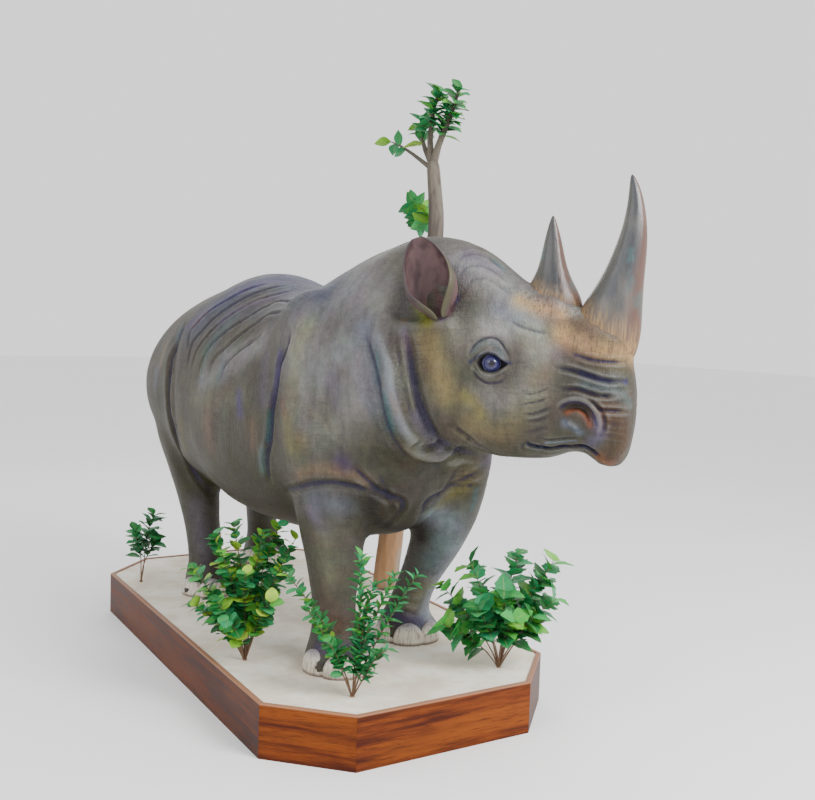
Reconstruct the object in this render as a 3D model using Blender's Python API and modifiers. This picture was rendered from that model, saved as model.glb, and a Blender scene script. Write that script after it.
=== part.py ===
"""A life-size replica black rhinoceros on a display plinth, among artificial plants and beside a small tree.

Metres, +Z up. The origin is the centre of the plinth's underside. The animal faces -Y and its left side is +X.
"""

import math

import bmesh
import bpy
import numpy as np
from mathutils import Matrix, Vector
from mathutils.bvhtree import BVHTree

# Plinth: one full plywood sheet on top, its corners cut off at 45 degrees, clad with hardwood boards.
SHEET_WIDTH = 1.220
SHEET_LENGTH = 2.440
CORNER_CUT = 0.243
BOARD_THICKNESS = 0.019
BOARD_HEIGHT = 0.200
BOARD_EDGE_ROUND = 0.004
DECK_DROP = 0.005
FIT_GAP = 0.0003
DECK_TOP = BOARD_HEIGHT - DECK_DROP

# The animal. Its points below are in metres for a shoulder of MODELLED_SHOULDER, as shares of that height.
SHOULDER_HEIGHT = 1.600
MODELLED_SHOULDER = 1.600
HEAD_TURN = math.radians(35)
HEAD_PIVOT = (0.060, -1.120)
EYE_DIAMETER = 0.066
CLAY_GRAIN = 0.011
HIDE_FACES = 4000

# The tree stands off the flank by a gap. Each plant's peg is pushed into a hole in the deck.
TREE_HEIGHT = 2.450
TREE_FOOT_RADIUS = 0.068
TREE_FLANK_GAP = 0.020
TREE_EDGE_GAP = 0.005
PEG_RADIUS = 0.009
PEG_DEPTH = 0.030
STEM_RADIUS = 0.0055
LEAF_THICKNESS = 0.003
LEAF_TO_HIDE = 0.012

SHARE = SHOULDER_HEIGHT / MODELLED_SHOULDER
UP = Vector((0, 0, 1))


def new_collection(name):
    collection = bpy.data.collections.new(name)
    bpy.context.scene.collection.children.link(collection)
    return collection


def clear_scene():
    for obj in list(bpy.data.objects):
        bpy.data.objects.remove(obj, do_unlink=True)


def material(name, colour, roughness, metallic=0.0):
    made = bpy.data.materials.new(name)
    made.use_nodes = True
    shader = made.node_tree.nodes["Principled BSDF"]
    shader.inputs["Base Color"].default_value = (*colour, 1)
    shader.inputs["Roughness"].default_value = roughness
    shader.inputs["Metallic"].default_value = metallic
    made.diffuse_color = (*colour, 1)
    return made


def object_from(bm, name, collection, finish=None):
    mesh = bpy.data.meshes.new(name)
    bm.to_mesh(mesh)
    bm.free()
    obj = bpy.data.objects.new(name, mesh)
    if finish:
        mesh.materials.append(finish)
    collection.objects.link(obj)
    return obj


def settled(obj):
    """Makes the object's modifiers part of its mesh."""
    bpy.context.view_layer.update()
    graph = bpy.context.evaluated_depsgraph_get()
    mesh = bpy.data.meshes.new_from_object(obj.evaluated_get(graph))
    obj.modifiers.clear()
    obj.data = mesh
    return obj


def add_loft(bm, rings):
    """A closed solid through rings that each hold the same number of points."""
    rows = [[bm.verts.new(point) for point in ring] for ring in rings]
    faces = []
    for low, high in zip(rows, rows[1:]):
        for i in range(len(low)):
            j = (i + 1) % len(low)
            faces.append(bm.faces.new((low[i], low[j], high[j], high[i])))
    faces.append(bm.faces.new(rows[0][::-1]))
    faces.append(bm.faces.new(rows[-1]))
    bmesh.ops.recalc_face_normals(bm, faces=faces)


def flowing(rows, steps=5):
    """More rows along the smooth curve that passes through the given ones."""
    rows = np.array(rows, dtype=float)
    ends = np.vstack([2 * rows[0] - rows[1], rows, 2 * rows[-1] - rows[-2]])
    found = []
    for a, b, c, d in zip(ends, ends[1:], ends[2:], ends[3:]):
        for t in np.arange(steps) / steps:
            cubic = (3 * b - a - 3 * c + d) * t**3
            found.append((2 * b + (c - a) * t + (2 * a - 5 * b + 4 * c - d) * t**2 + cubic) / 2)
    return np.array([*found, rows[-1]]).tolist()


def oval(centre, across, along, half_across, half_along, half_back=None, power=2.0, sides=20):
    """A ring about centre: half_across along one axis, half_along and half_back along the other."""
    half_back = half_along if half_back is None else half_back
    ring = []
    for i in range(sides):
        turn = 2 * math.pi * i / sides
        c, s = math.cos(turn), math.sin(turn)
        wide = math.copysign(abs(c) ** (2 / power), c) * half_across
        tall = math.copysign(abs(s) ** (2 / power), s) * (half_along if s > 0 else half_back)
        ring.append(Vector(centre) + wide * Vector(across) + tall * Vector(along))
    return ring


def add_lump(bm, centre, radii, turn=None):
    """An oval lump of clay."""
    place = Matrix.Translation(centre) @ (turn or Matrix()) @ Matrix.Diagonal((*radii, 1))
    bmesh.ops.create_uvsphere(bm, u_segments=20, v_segments=12, radius=1, matrix=place)


# The plinth


def octagon(grow):
    """The corners of the sheet's outline, counter-clockwise from above, moved out by grow on every side."""
    half_x = SHEET_WIDTH / 2 + grow
    half_y = SHEET_LENGTH / 2 + grow
    cut = CORNER_CUT + grow * (2 - math.sqrt(2))
    right = [(half_x, -half_y + cut), (half_x, half_y - cut), (half_x - cut, half_y)]
    return [(half_x - cut, -half_y), *right, *[(-x, y) for x, y in reversed(right)], (cut - half_x, -half_y)]


def add_prism(bm, outline, low, high):
    bottom = [bm.verts.new((x, y, low)) for x, y in outline]
    top = [bm.verts.new((x, y, high)) for x, y in outline]
    bm.faces.new(bottom[::-1])
    bm.faces.new(top)
    for i in range(len(outline)):
        j = (i + 1) % len(outline)
        bm.faces.new((bottom[i], bottom[j], top[j], top[i]))


def make_platform(collection, finish, holes):
    bm = bmesh.new()
    add_prism(bm, octagon(0), 0, DECK_TOP)
    platform = object_from(bm, "platform", collection, finish)
    for hole in holes:
        cut = platform.modifiers.new(hole.name, "BOOLEAN")
        cut.operation = "DIFFERENCE"
        cut.object = hole
    return platform


BOARD_NAMES = ("front_left", "left", "back_left", "back", "back_right", "right", "front_right", "front")


def make_boards(collection, finish):
    """Eight boards, mitred where they meet, with a thin gap at each mitre and the top outer edge rounded."""
    inner = [Vector(p) for p in octagon(FIT_GAP)]
    outer = [Vector(p) for p in octagon(FIT_GAP + BOARD_THICKNESS)]
    for i, name in enumerate(BOARD_NAMES):
        j = (i + 1) % len(inner)
        along = (outer[j] - outer[i]).normalized() * FIT_GAP
        plan = [inner[j] - along, inner[i] + along, outer[i] + along, outer[j] - along]
        bm = bmesh.new()
        add_prism(bm, plan, 0, BOARD_HEIGHT)
        middle = (outer[i] + outer[j]) / 2
        top_edges = [
            edge
            for edge in bm.edges
            if all(v.co.z > DECK_TOP for v in edge.verts)
            and abs((edge.verts[0].co - edge.verts[1].co).normalized().xy.dot(along) / FIT_GAP) > 0.99
            and ((edge.verts[0].co + edge.verts[1].co) / 2).xy.length > middle.length - BOARD_THICKNESS / 2
        ]
        bmesh.ops.bevel(bm, geom=top_edges, offset=BOARD_EDGE_ROUND, segments=2, affect="EDGES", profile=0.5)
        bmesh.ops.recalc_face_normals(bm, faces=bm.faces[:])
        object_from(bm, "board_" + name, collection, finish)


# The animal, in its own space: the ground is z = 0, at the size of MODELLED_SHOULDER

FORWARD = Vector((math.sin(HEAD_TURN), -math.cos(HEAD_TURN), 0))
LEFT = Vector((math.cos(HEAD_TURN), math.sin(HEAD_TURN), 0))


def on_head(forward, left, height):
    """A point given from the head's pivot, along the way the head faces."""
    return Vector((*HEAD_PIVOT, height)) + forward * FORWARD + left * LEFT


# Each row of the trunk: how far back, its top, its widest height, its underside, its half width, its squareness.
TORSO = (
    (1.250, 1.125, 0.980, 0.830, 0.130, 2.0),
    (1.215, 1.262, 0.985, 0.700, 0.300, 2.0),
    (1.125, 1.362, 0.995, 0.610, 0.405, 2.0),
    (0.970, 1.438, 0.995, 0.540, 0.457, 2.0),
    (0.780, 1.485, 0.980, 0.500, 0.472, 2.1),
    (0.560, 1.526, 0.950, 0.475, 0.484, 2.1),
    (0.330, 1.572, 0.920, 0.450, 0.492, 2.0),
    (0.100, 1.525, 0.900, 0.430, 0.495, 2.1),
    (-0.130, 1.472, 0.900, 0.435, 0.480, 2.2),
    (-0.350, 1.492, 0.910, 0.450, 0.445, 2.2),
    (-0.580, 1.575, 0.930, 0.480, 0.405, 2.1),
    (-0.780, 1.638, 0.960, 0.515, 0.360, 2.0),
    (-0.920, 1.643, 1.000, 0.600, 0.300, 2.0),
    (-1.010, 1.575, 1.050, 0.740, 0.220, 2.0),
)

# Each row of the neck: its centre, its turn in degrees, its half width, its height above and below the centre.
NECK = (
    (0.000, -0.600, 1.100, 0, 0.360, 0.480, 0.560),
    (0.000, -0.800, 1.120, 6, 0.345, 0.515, 0.500),
    (0.005, -0.920, 1.120, 14, 0.318, 0.548, 0.395),
    (0.025, -1.020, 1.120, 24, 0.290, 0.557, 0.275),
    (0.055, -1.090, 1.140, 32, 0.245, 0.528, 0.245),
    (0.090, -1.150, 1.170, 35, 0.195, 0.482, 0.225),
)

# Each row of the head: how far forward, its top, its widest height, its underside, its half width, its squareness.
HEAD = (
    (-0.140, 1.658, 1.330, 1.040, 0.150, 2.0),
    (-0.060, 1.673, 1.310, 0.990, 0.172, 2.1),
    (0.030, 1.655, 1.280, 0.935, 0.180, 2.2),
    (0.110, 1.621, 1.240, 0.900, 0.182, 2.3),
    (0.180, 1.571, 1.200, 0.888, 0.175, 2.3),
    (0.250, 1.518, 1.180, 0.886, 0.158, 2.4),
    (0.320, 1.478, 1.170, 0.890, 0.144, 2.5),
    (0.390, 1.445, 1.165, 0.900, 0.135, 2.5),
    (0.440, 1.430, 1.165, 0.925, 0.133, 2.5),
    (0.500, 1.400, 1.160, 0.925, 0.135, 2.4),
    (0.550, 1.370, 1.150, 0.888, 0.132, 2.3),
    (0.588, 1.335, 1.140, 0.876, 0.122, 2.2),
    (0.620, 1.297, 1.110, 0.892, 0.104, 2.2),
    (0.642, 1.240, 1.095, 0.938, 0.076, 2.1),
    (0.658, 1.160, 1.090, 1.020, 0.030, 2.0),
)

# Each row of a leg: its height, its place across and back, its half width and its half depth.
LEGS = {
    "right_fore": (
        (1.240, -0.255, -0.600, 0.110, 0.230),
        (1.000, -0.250, -0.640, 0.160, 0.250),
        (0.780, -0.240, -0.690, 0.158, 0.215),
        (0.600, -0.225, -0.705, 0.132, 0.165),
        (0.480, -0.212, -0.705, 0.118, 0.138),
        (0.360, -0.202, -0.700, 0.100, 0.115),
        (0.250, -0.200, -0.700, 0.084, 0.096),
        (0.160, -0.198, -0.708, 0.086, 0.098),
        (0.100, -0.200, -0.722, 0.100, 0.114),
        (0.045, -0.202, -0.735, 0.118, 0.132),
        (-0.030, -0.202, -0.738, 0.122, 0.136),
    ),
    "left_fore": (
        (1.200, 0.255, -0.700, 0.110, 0.210),
        (1.000, 0.262, -0.760, 0.152, 0.225),
        (0.800, 0.268, -0.805, 0.146, 0.188),
        (0.600, 0.268, -0.780, 0.124, 0.152),
        (0.460, 0.262, -0.728, 0.110, 0.124),
        (0.350, 0.256, -0.665, 0.096, 0.104),
        (0.250, 0.250, -0.600, 0.083, 0.092),
        (0.160, 0.246, -0.550, 0.085, 0.095),
        (0.100, 0.244, -0.530, 0.098, 0.110),
        (0.045, 0.243, -0.518, 0.116, 0.128),
        (-0.030, 0.243, -0.515, 0.120, 0.132),
    ),
    "right_hind": (
        (1.180, -0.250, 0.850, 0.150, 0.285),
        (0.960, -0.280, 0.835, 0.172, 0.280),
        (0.760, -0.284, 0.790, 0.158, 0.230),
        (0.600, -0.276, 0.743, 0.130, 0.180),
        (0.480, -0.272, 0.696, 0.108, 0.138),
        (0.380, -0.272, 0.648, 0.094, 0.114),
        (0.270, -0.276, 0.585, 0.083, 0.100),
        (0.170, -0.280, 0.540, 0.083, 0.093),
        (0.105, -0.280, 0.518, 0.094, 0.104),
        (0.045, -0.280, 0.505, 0.110, 0.120),
        (-0.030, -0.280, 0.500, 0.114, 0.124),
    ),
    "left_hind": (
        (1.150, 0.245, 0.880, 0.150, 0.275),
        (0.940, 0.262, 0.900, 0.168, 0.265),
        (0.740, 0.262, 0.940, 0.152, 0.215),
        (0.580, 0.252, 0.985, 0.126, 0.170),
        (0.450, 0.242, 1.035, 0.102, 0.134),
        (0.330, 0.235, 1.050, 0.090, 0.110),
        (0.240, 0.232, 1.042, 0.082, 0.097),
        (0.160, 0.230, 1.025, 0.083, 0.093),
        (0.100, 0.228, 1.010, 0.094, 0.104),
        (0.045, 0.226, 0.998, 0.110, 0.120),
        (-0.030, 0.226, 0.995, 0.114, 0.124),
    ),
}

# Each row of the tail: its height, its place back, its half width and its half depth.
TAIL = (
    (1.300, 1.150, 0.075, 0.060),
    (1.200, 1.225, 0.055, 0.045),
    (1.050, 1.262, 0.036, 0.034),
    (0.880, 1.272, 0.028, 0.028),
    (0.740, 1.266, 0.026, 0.024),
    (0.640, 1.262, 0.040, 0.020),
    (0.560, 1.260, 0.022, 0.012),
)

# Each row of a horn, on the head's middle plane: forward, height, half length along the head, half width.
HORNS = {
    "front_horn": (
        (0.505, 1.235, 0.112, 0.080),
        (0.524, 1.305, 0.126, 0.102),
        (0.548, 1.375, 0.115, 0.099),
        (0.572, 1.450, 0.088, 0.080),
        (0.598, 1.535, 0.064, 0.061),
        (0.616, 1.620, 0.051, 0.050),
        (0.626, 1.700, 0.040, 0.040),
        (0.624, 1.780, 0.027, 0.027),
        (0.613, 1.835, 0.015, 0.015),
        (0.604, 1.866, 0.004, 0.004),
    ),
    "rear_horn": (
        (0.345, 1.370, 0.100, 0.070),
        (0.345, 1.420, 0.116, 0.084),
        (0.346, 1.472, 0.100, 0.078),
        (0.346, 1.515, 0.072, 0.058),
        (0.345, 1.570, 0.047, 0.042),
        (0.343, 1.630, 0.035, 0.032),
        (0.340, 1.690, 0.020, 0.018),
        (0.338, 1.733, 0.004, 0.004),
    ),
}
HORN_SIDES = 16

# Lumps of muscle and fat on each side: place and radii, across, back and up.
BODY_LUMPS = (
    ((0.250, -0.560, 1.080), (0.165, 0.300, 0.400)),
    ((0.265, 0.820, 1.010), (0.168, 0.320, 0.345)),
)

# Lumps on each side of the head: forward, left and height, then radii forward, left and up.
HEAD_LUMPS = (
    ((0.075, 0.112, 1.090), (0.150, 0.070, 0.175)),
    ((0.090, 0.135, 1.235), (0.130, 0.048, 0.055)),
    ((0.178, 0.142, 1.250), (0.062, 0.036, 0.052)),
    ((0.505, 0.095, 1.062), (0.078, 0.052, 0.062)),
    ((0.572, 0.048, 0.962), (0.070, 0.050, 0.070)),
    ((-0.030, 0.085, 1.370), (0.060, 0.055, 0.075)),
    ((0.012, 0.165, 1.365), (0.055, 0.048, 0.056)),
    ((0.510, 0.030, 1.310), (0.132, 0.100, 0.090)),
    ((0.345, 0.022, 1.400), (0.118, 0.085, 0.080)),
)

# Toes: the angle from straight ahead of each broad nail, and how it stands proud of the foot.
TOE_ANGLES = (-60, 0, 60)
TOE_RADII = (0.060, 0.054, 0.075)
TOE_HEIGHT = 0.024

# Folds of the hide, each a path across it with the fold's reach, and its depth or, below zero, its rise.
# These are drawn on one flank, as across, back and height, and repeated on the other.
BODY_FOLDS = (
    (((0.37, 0.62, 1.30), (0.44, 0.57, 1.17), (0.48, 0.50, 1.02), (0.49, 0.47, 0.86), (0.44, 0.52, 0.68)), 0.034, 0.022),
    (((0.38, -0.60, 1.29), (0.41, -0.58, 1.19), (0.42, -0.55, 1.02), (0.42, -0.52, 0.88), (0.38, -0.47, 0.70)), 0.030, 0.020),
    (((0.35, -0.54, 0.67), (0.38, -0.72, 0.72), (0.33, -0.86, 0.76), (0.16, -0.96, 0.73)), 0.034, 0.009),
    (((0.10, 0.00, 1.48), (0.26, 0.08, 1.43), (0.37, 0.22, 1.35), (0.44, 0.34, 1.22), (0.48, 0.33, 1.06)), 0.022, 0.008),
    (((0.12, -0.10, 1.44), (0.28, -0.04, 1.38), (0.38, 0.04, 1.30), (0.45, 0.13, 1.18), (0.48, 0.14, 1.02)), 0.022, 0.008),
)
# These ring the throat, as forward, left and height from the head's pivot, from the middle out to one side.
HEAD_FOLDS = (
    (((-0.02, 0.00, 0.91), (-0.03, 0.17, 0.98), (-0.04, 0.23, 1.09), (-0.06, 0.24, 1.20), (-0.09, 0.23, 1.31)), 0.032, 0.030),
    (((-0.12, 0.00, 0.85), (-0.13, 0.19, 0.95), (-0.15, 0.25, 1.07), (-0.18, 0.25, 1.19), (-0.23, 0.22, 1.32)), 0.034, -0.022),
    (((-0.24, 0.00, 0.76), (-0.26, 0.22, 0.90), (-0.28, 0.28, 1.05), (-0.31, 0.27, 1.20)), 0.040, 0.016),
)


def nearness(points, path, reach):
    """How near each point lies to the path, from 1 on it down to 0, fading out towards the path's ends."""
    path = np.array(flowing(path))
    gap = np.full(len(points), np.inf)
    along = np.zeros(len(points))
    for i, (start, end) in enumerate(zip(path, path[1:])):
        step = end - start
        t = np.clip((points - start) @ step / (step @ step), 0, 1)
        away = np.linalg.norm(points - start - t[:, None] * step, axis=1)
        closer = away < gap
        gap[closer] = away[closer]
        along[closer] = (i + t[closer]) / (len(path) - 1)
    fade = np.clip(np.minimum(along, 1 - along) / 0.15, 0, 1)
    return np.exp(-((gap / reach) ** 2)) * fade


def press_folds(hide):
    """Presses each fold into the smooth hide, or raises it, along the hide's own normals."""
    mesh = hide.data
    points = np.empty(len(mesh.vertices) * 3)
    normals = np.empty(len(mesh.vertices) * 3)
    mesh.vertices.foreach_get("co", points)
    mesh.vertices.foreach_get("normal", normals)
    points, normals = points.reshape(-1, 3), normals.reshape(-1, 3)
    surface = BVHTree.FromObject(hide, bpy.context.evaluated_depsgraph_get())
    depth = np.zeros(len(points))

    def press(path, reach, fold_depth):
        on_hide = [surface.find_nearest(point)[0] for point in path]
        depth[:] += fold_depth * nearness(points, on_hide, reach)

    for path, reach, fold_depth in BODY_FOLDS:
        for side in (-1, 1):
            press([(side * x, y, z) for x, y, z in path], reach, fold_depth)
    for path, reach, fold_depth in HEAD_FOLDS:
        right = [on_head(forward, -left, height) for forward, left, height in path]
        left = [on_head(*point) for point in path]
        press(right[:0:-1] + left, reach, fold_depth)
    moved = points - depth[:, None] * normals
    mesh.vertices.foreach_set("co", moved.ravel())
    mesh.update()


def add_torso(bm):
    rings = []
    for back, top, wide, under, half, power in flowing(TORSO):
        centre = (0, back, wide)
        rings.append(oval(centre, (1, 0, 0), UP, half, top - wide, wide - under, power, sides=64))
    add_loft(bm, rings)


def add_neck(bm):
    rings = []
    for x, y, z, turn, half, above, below in flowing(NECK):
        across = (math.cos(math.radians(turn)), math.sin(math.radians(turn)), 0)
        rings.append(oval((x, y, z), across, UP, half, above, below, sides=56))
    add_loft(bm, rings)


def add_head(bm):
    rings = []
    for forward, top, wide, under, half, power in flowing(HEAD):
        centre = on_head(forward, 0, wide)
        rings.append(oval(centre, LEFT, UP, half, top - wide, wide - under, power, sides=56))
    add_loft(bm, rings)
    turn = Matrix((FORWARD, LEFT, UP)).transposed().to_4x4()
    for (forward, left, height), radii in HEAD_LUMPS:
        for side in (-1, 1):
            add_lump(bm, on_head(forward, side * left, height), radii, turn)


def add_leg(bm, rows):
    rings = [oval((x, y, z), (1, 0, 0), (0, 1, 0), half, deep, sides=36) for z, x, y, half, deep in flowing(rows)]
    add_loft(bm, rings)
    _, x, y, half, deep = rows[-1]
    for angle in TOE_ANGLES:
        turn = math.radians(angle)
        place = (x + 0.80 * half * math.sin(turn), y - 0.84 * deep * math.cos(turn), TOE_HEIGHT)
        add_lump(bm, place, TOE_RADII)


def add_tail(bm):
    add_loft(bm, [oval((0, y, z), (1, 0, 0), (0, 1, 0), half, deep) for z, y, half, deep in flowing(TAIL)])


def add_body_lumps(bm):
    for (x, y, z), radii in BODY_LUMPS:
        for side in (-1, 1):
            add_lump(bm, (side * x, y, z), radii)


def make_hide(collection, finish):
    """The animal without its ears and horns: lumps of clay run together, smoothed and faceted."""
    bm = bmesh.new()
    add_torso(bm)
    add_neck(bm)
    add_head(bm)
    add_tail(bm)
    add_body_lumps(bm)
    for rows in LEGS.values():
        add_leg(bm, rows)
    hide = object_from(bm, "rhino", collection, finish)
    remesh = hide.modifiers.new("one skin", "REMESH")
    remesh.mode = "VOXEL"
    remesh.voxel_size = CLAY_GRAIN
    smooth = hide.modifiers.new("smoothed", "SMOOTH")
    smooth.factor = 0.5
    smooth.iterations = 22
    settled(hide)
    press_folds(hide)
    return hide


# Each row of an ear: its share of the length, its half width, its depth, and how far its edges wrap, in degrees.
EAR_ROWS = (
    (-0.36, 0.030, 0.034, 165),
    (0.00, 0.042, 0.046, 168),
    (0.18, 0.076, 0.062, 152),
    (0.40, 0.096, 0.066, 124),
    (0.62, 0.092, 0.056, 100),
    (0.80, 0.074, 0.038, 86),
    (0.93, 0.048, 0.022, 76),
    (1.00, 0.020, 0.012, 66),
)
EAR_WALL = 0.010
EAR_STEPS = 7


def make_ear(collection, side, finish):
    """A cupped ear: crescents lofted from the root to the tip, open the way the ear faces."""
    base, tip, opens = EARS[side]
    axis = (tip - base).normalized()
    opens = (opens - opens.dot(axis) * axis).normalized()
    across = axis.cross(opens)
    rings = []
    for share, half, deep, wrap in EAR_ROWS:
        centre = base + share * (tip - base)
        turns = [math.radians(wrap) * (2 * i / (EAR_STEPS - 1) - 1) for i in range(EAR_STEPS)]
        wall = min(EAR_WALL, 0.45 * half, 0.45 * deep)
        outside = [centre + half * math.sin(t) * across - deep * math.cos(t) * opens for t in turns]
        inside = [
            centre + (half - wall) * math.sin(t) * across - (deep - wall) * math.cos(t) * opens for t in turns
        ]
        rings.append(outside + inside[::-1])
    bm = bmesh.new()
    add_loft(bm, rings)
    return object_from(bm, "ear_" + side, collection, finish)


EARS = {
    "right": (on_head(0.012, -0.186, 1.388), on_head(-0.066, -0.238, 1.650), 0.25 * FORWARD - 1.0 * LEFT),
    "left": (on_head(0.012, 0.186, 1.388), on_head(-0.095, 0.240, 1.645), 0.20 * FORWARD + 1.0 * LEFT),
}
EYES = {
    "eye_right": on_head(0.186, -0.149, 1.226),
    "eye_left": on_head(0.186, 0.149, 1.226),
}


def make_horns(collection, finish):
    horns = []
    for name, rows in HORNS.items():
        rings = []
        for i, (forward, height, half_long, half_wide) in enumerate(rows):
            before, after = rows[max(i - 1, 0)], rows[min(i + 1, len(rows) - 1)]
            run = ((after[0] - before[0]) * FORWARD + (after[1] - before[1]) * UP).normalized()
            along = LEFT.cross(run)
            rings.append(oval(on_head(forward, 0, height), LEFT, along, half_wide, half_long, sides=HORN_SIDES))
        bm = bmesh.new()
        add_loft(bm, rings)
        horns.append(object_from(bm, name, collection, finish))
    return horns


def join_by_union(body, pieces):
    for piece in pieces:
        join = body.modifiers.new(piece.name, "BOOLEAN")
        join.operation = "UNION"
        join.object = piece
    settled(body)
    for piece in pieces:
        bpy.data.objects.remove(piece)


def thin_out(hide):
    """Brings the hide to HIDE_FACES triangles, about half of them on the head."""
    head = hide.vertex_groups.new(name="head")
    middle = on_head(0.3, 0, 1.2)
    for vertex in hide.data.vertices:
        if (vertex.co - middle).length < 0.55:
            head.add([vertex.index], 0.5, "REPLACE")
    faces = sum(len(face.vertices) - 2 for face in hide.data.polygons)
    thin = hide.modifiers.new("faceted", "DECIMATE")
    thin.ratio = HIDE_FACES / faces
    thin.vertex_group = "head"
    thin.invert_vertex_group = True
    thin.vertex_group_factor = 0.03
    settled(hide)
    hide.vertex_groups.clear()


def flatten_feet(hide):
    """Cuts the feet off level, just above the deck that they stand on."""
    bm = bmesh.new()
    bm.from_mesh(hide.data)
    geometry = bm.verts[:] + bm.edges[:] + bm.faces[:]
    cut = bmesh.ops.bisect_plane(bm, geom=geometry, plane_co=(0, 0, 0), plane_no=UP, clear_inner=True)
    rim = [e for e in cut["geom_cut"] if isinstance(e, bmesh.types.BMEdge)]
    bmesh.ops.holes_fill(bm, edges=rim, sides=0)
    bmesh.ops.triangulate(bm, faces=bm.faces[:])
    bmesh.ops.recalc_face_normals(bm, faces=bm.faces[:])
    bm.to_mesh(hide.data)
    bm.free()


def add_ball(bm, centre, radius):
    bmesh.ops.create_uvsphere(bm, u_segments=10, v_segments=7, radius=radius, matrix=Matrix.Translation(centre))


def make_eyes(collection, cutters, hide, finish):
    """Glass eyes, each in a socket of the same form that is wider by the fit gap."""
    for name, centre in EYES.items():
        for radius, label in ((EYE_DIAMETER / 2, name), (EYE_DIAMETER / 2 + FIT_GAP, name + "_socket")):
            bm = bmesh.new()
            add_ball(bm, (0, 0, 0), radius)
            made = object_from(bm, label, collection if label == name else cutters, finish)
            made.location = on_deck(centre)
        made.hide_render = True
        made.display_type = "WIRE"
        cut = hide.modifiers.new(label, "BOOLEAN")
        cut.operation = "DIFFERENCE"
        cut.object = made


def on_deck(point):
    """A point of the modelled animal, at its real size and standing on the deck."""
    return Vector(point) * SHARE + Vector((0, 0, DECK_TOP + FIT_GAP))


def make_rhino(collection, cutters, hide_finish, eye_finish):
    hide = make_hide(collection, hide_finish)
    thin_out(hide)
    extras = [make_ear(collection, side, hide_finish) for side in EARS]
    extras += make_horns(collection, hide_finish)
    join_by_union(hide, extras)
    flatten_feet(hide)
    for vertex in hide.data.vertices:
        vertex.co = on_deck(vertex.co)
    make_eyes(collection, cutters, hide, eye_finish)
    return hide


# The plants and the tree. All of their heights are from the deck.

# Each row of the trunk: share of the height, share of the way from the foot's place to the flank's, place back,
# and share of the foot's radius.
TRUNK = (
    (0.000, 0.00, 0.160, 1.00),
    (0.130, 0.40, 0.130, 0.95),
    (0.270, 0.80, 0.095, 0.90),
    (0.400, 1.00, 0.050, 0.83),
    (0.520, 1.10, 0.000, 0.74),
    (0.630, 1.30, -0.075, 0.64),
    (0.730, 1.42, -0.128, 0.57),
    (0.800, 1.42, -0.108, 0.52),
    (0.870, 1.38, -0.078, 0.46),
)

# Each branch: points as share of the height, out from the trunk's top, and back; its two radii; its leaves.
BRANCHES = (
    (((0.850, 0.00, -0.078), (0.895, 0.01, -0.110), (0.940, 0.02, -0.190), (0.985, 0.01, -0.280)), (0.024, 0.006), 7),
    (((0.850, 0.00, -0.078), (0.905, 0.00, -0.050), (0.955, -0.01, -0.085), (0.995, 0.00, -0.110)), (0.022, 0.005), 7),
    (((0.850, 0.01, -0.078), (0.890, 0.00, -0.010), (0.925, 0.00, 0.030), (0.960, 0.01, 0.050)), (0.018, 0.005), 5),
    (((0.850, 0.00, -0.078), (0.885, -0.03, 0.060), (0.905, -0.05, 0.150), (0.915, -0.06, 0.215)), (0.014, 0.004), 2),
    (((0.740, 0.00, -0.125), (0.762, 0.02, -0.010), (0.785, 0.03, 0.095)), (0.014, 0.005), 4),
)
TREE_LEAF = (0.120, 0.080)

# Each plant: its place as shares of the sheet's half width and half length, the length and width of its leaves,
# its leaves on each stem, and where its stems end: across the plinth's front right corner, up, and out from it.
PLANTS = {
    "plant_back_corner": (
        (-0.869, 0.639),
        (0.090, 0.064),
        3,
        ((-0.02, 0.27, 0.02), (0.05, 0.34, 0.00), (0.07, 0.22, 0.03)),
    ),
    "plant_shoulder": (
        (-0.820, -0.434),
        (0.100, 0.080),
        4,
        (
            (-0.20, 0.24, 0.03),
            (-0.19, 0.40, 0.05),
            (-0.08, 0.49, -0.02),
            (0.02, 0.38, 0.09),
            (0.06, 0.53, 0.00),
            (0.16, 0.38, 0.06),
            (0.10, 0.24, 0.10),
        ),
    ),
    "plant_front": (
        (-0.492, -0.869),
        (0.074, 0.044),
        6,
        ((-0.24, 0.46, 0.00), (0.03, 0.52, 0.02), (0.21, 0.47, 0.00), (-0.11, 0.24, 0.04), (0.11, 0.20, 0.04)),
    ),
    "plant_left": (
        (0.607, -0.852),
        (0.112, 0.090),
        4,
        (
            (-0.23, 0.18, 0.07),
            (-0.24, 0.34, 0.00),
            (-0.13, 0.45, 0.03),
            (0.00, 0.33, 0.09),
            (0.06, 0.48, -0.02),
            (0.14, 0.36, 0.03),
            (0.10, 0.20, 0.08),
        ),
    ),
}
CORNER_SIDE = math.radians(-31)
GOLDEN_TURN = math.radians(137.5)
LEAF_RISE = math.radians(35)
LEAF_ARCH = 0.04
STEM_SIDES = 3
STEM_STEPS = 3
STEM_TAPER = 0.4
PEG_SIDES = 8
TRUNK_SIDES = 10
BRANCH_SIDES = 5


def add_branch(bm, path, radii, sides=STEM_SIDES):
    """A tube through the path's points, with one radius at each."""
    rings = []
    for i, point in enumerate(path):
        run = (path[min(i + 1, len(path) - 1)] - path[max(i - 1, 0)]).normalized()
        across = run.cross(Vector((0.2, 1, 0.1))).normalized()
        rings.append(oval(point, across, run.cross(across), radii[i], radii[i], sides=sides))
    add_loft(bm, rings)


def leaf_points(base, run, across, size):
    """A leaf's outline, and the points above and below its middle rib."""
    length, width = size
    up = across.cross(run)
    outline = [(0.0, 0.0), (0.5, 0.5), (1.0, 0.0), (0.5, -0.5)]
    edge = [base + length * along * run + width * out * across for along, out in outline]
    middle = base + 0.5 * length * run + LEAF_ARCH * length * up
    return edge, middle + LEAF_THICKNESS * up, middle


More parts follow.
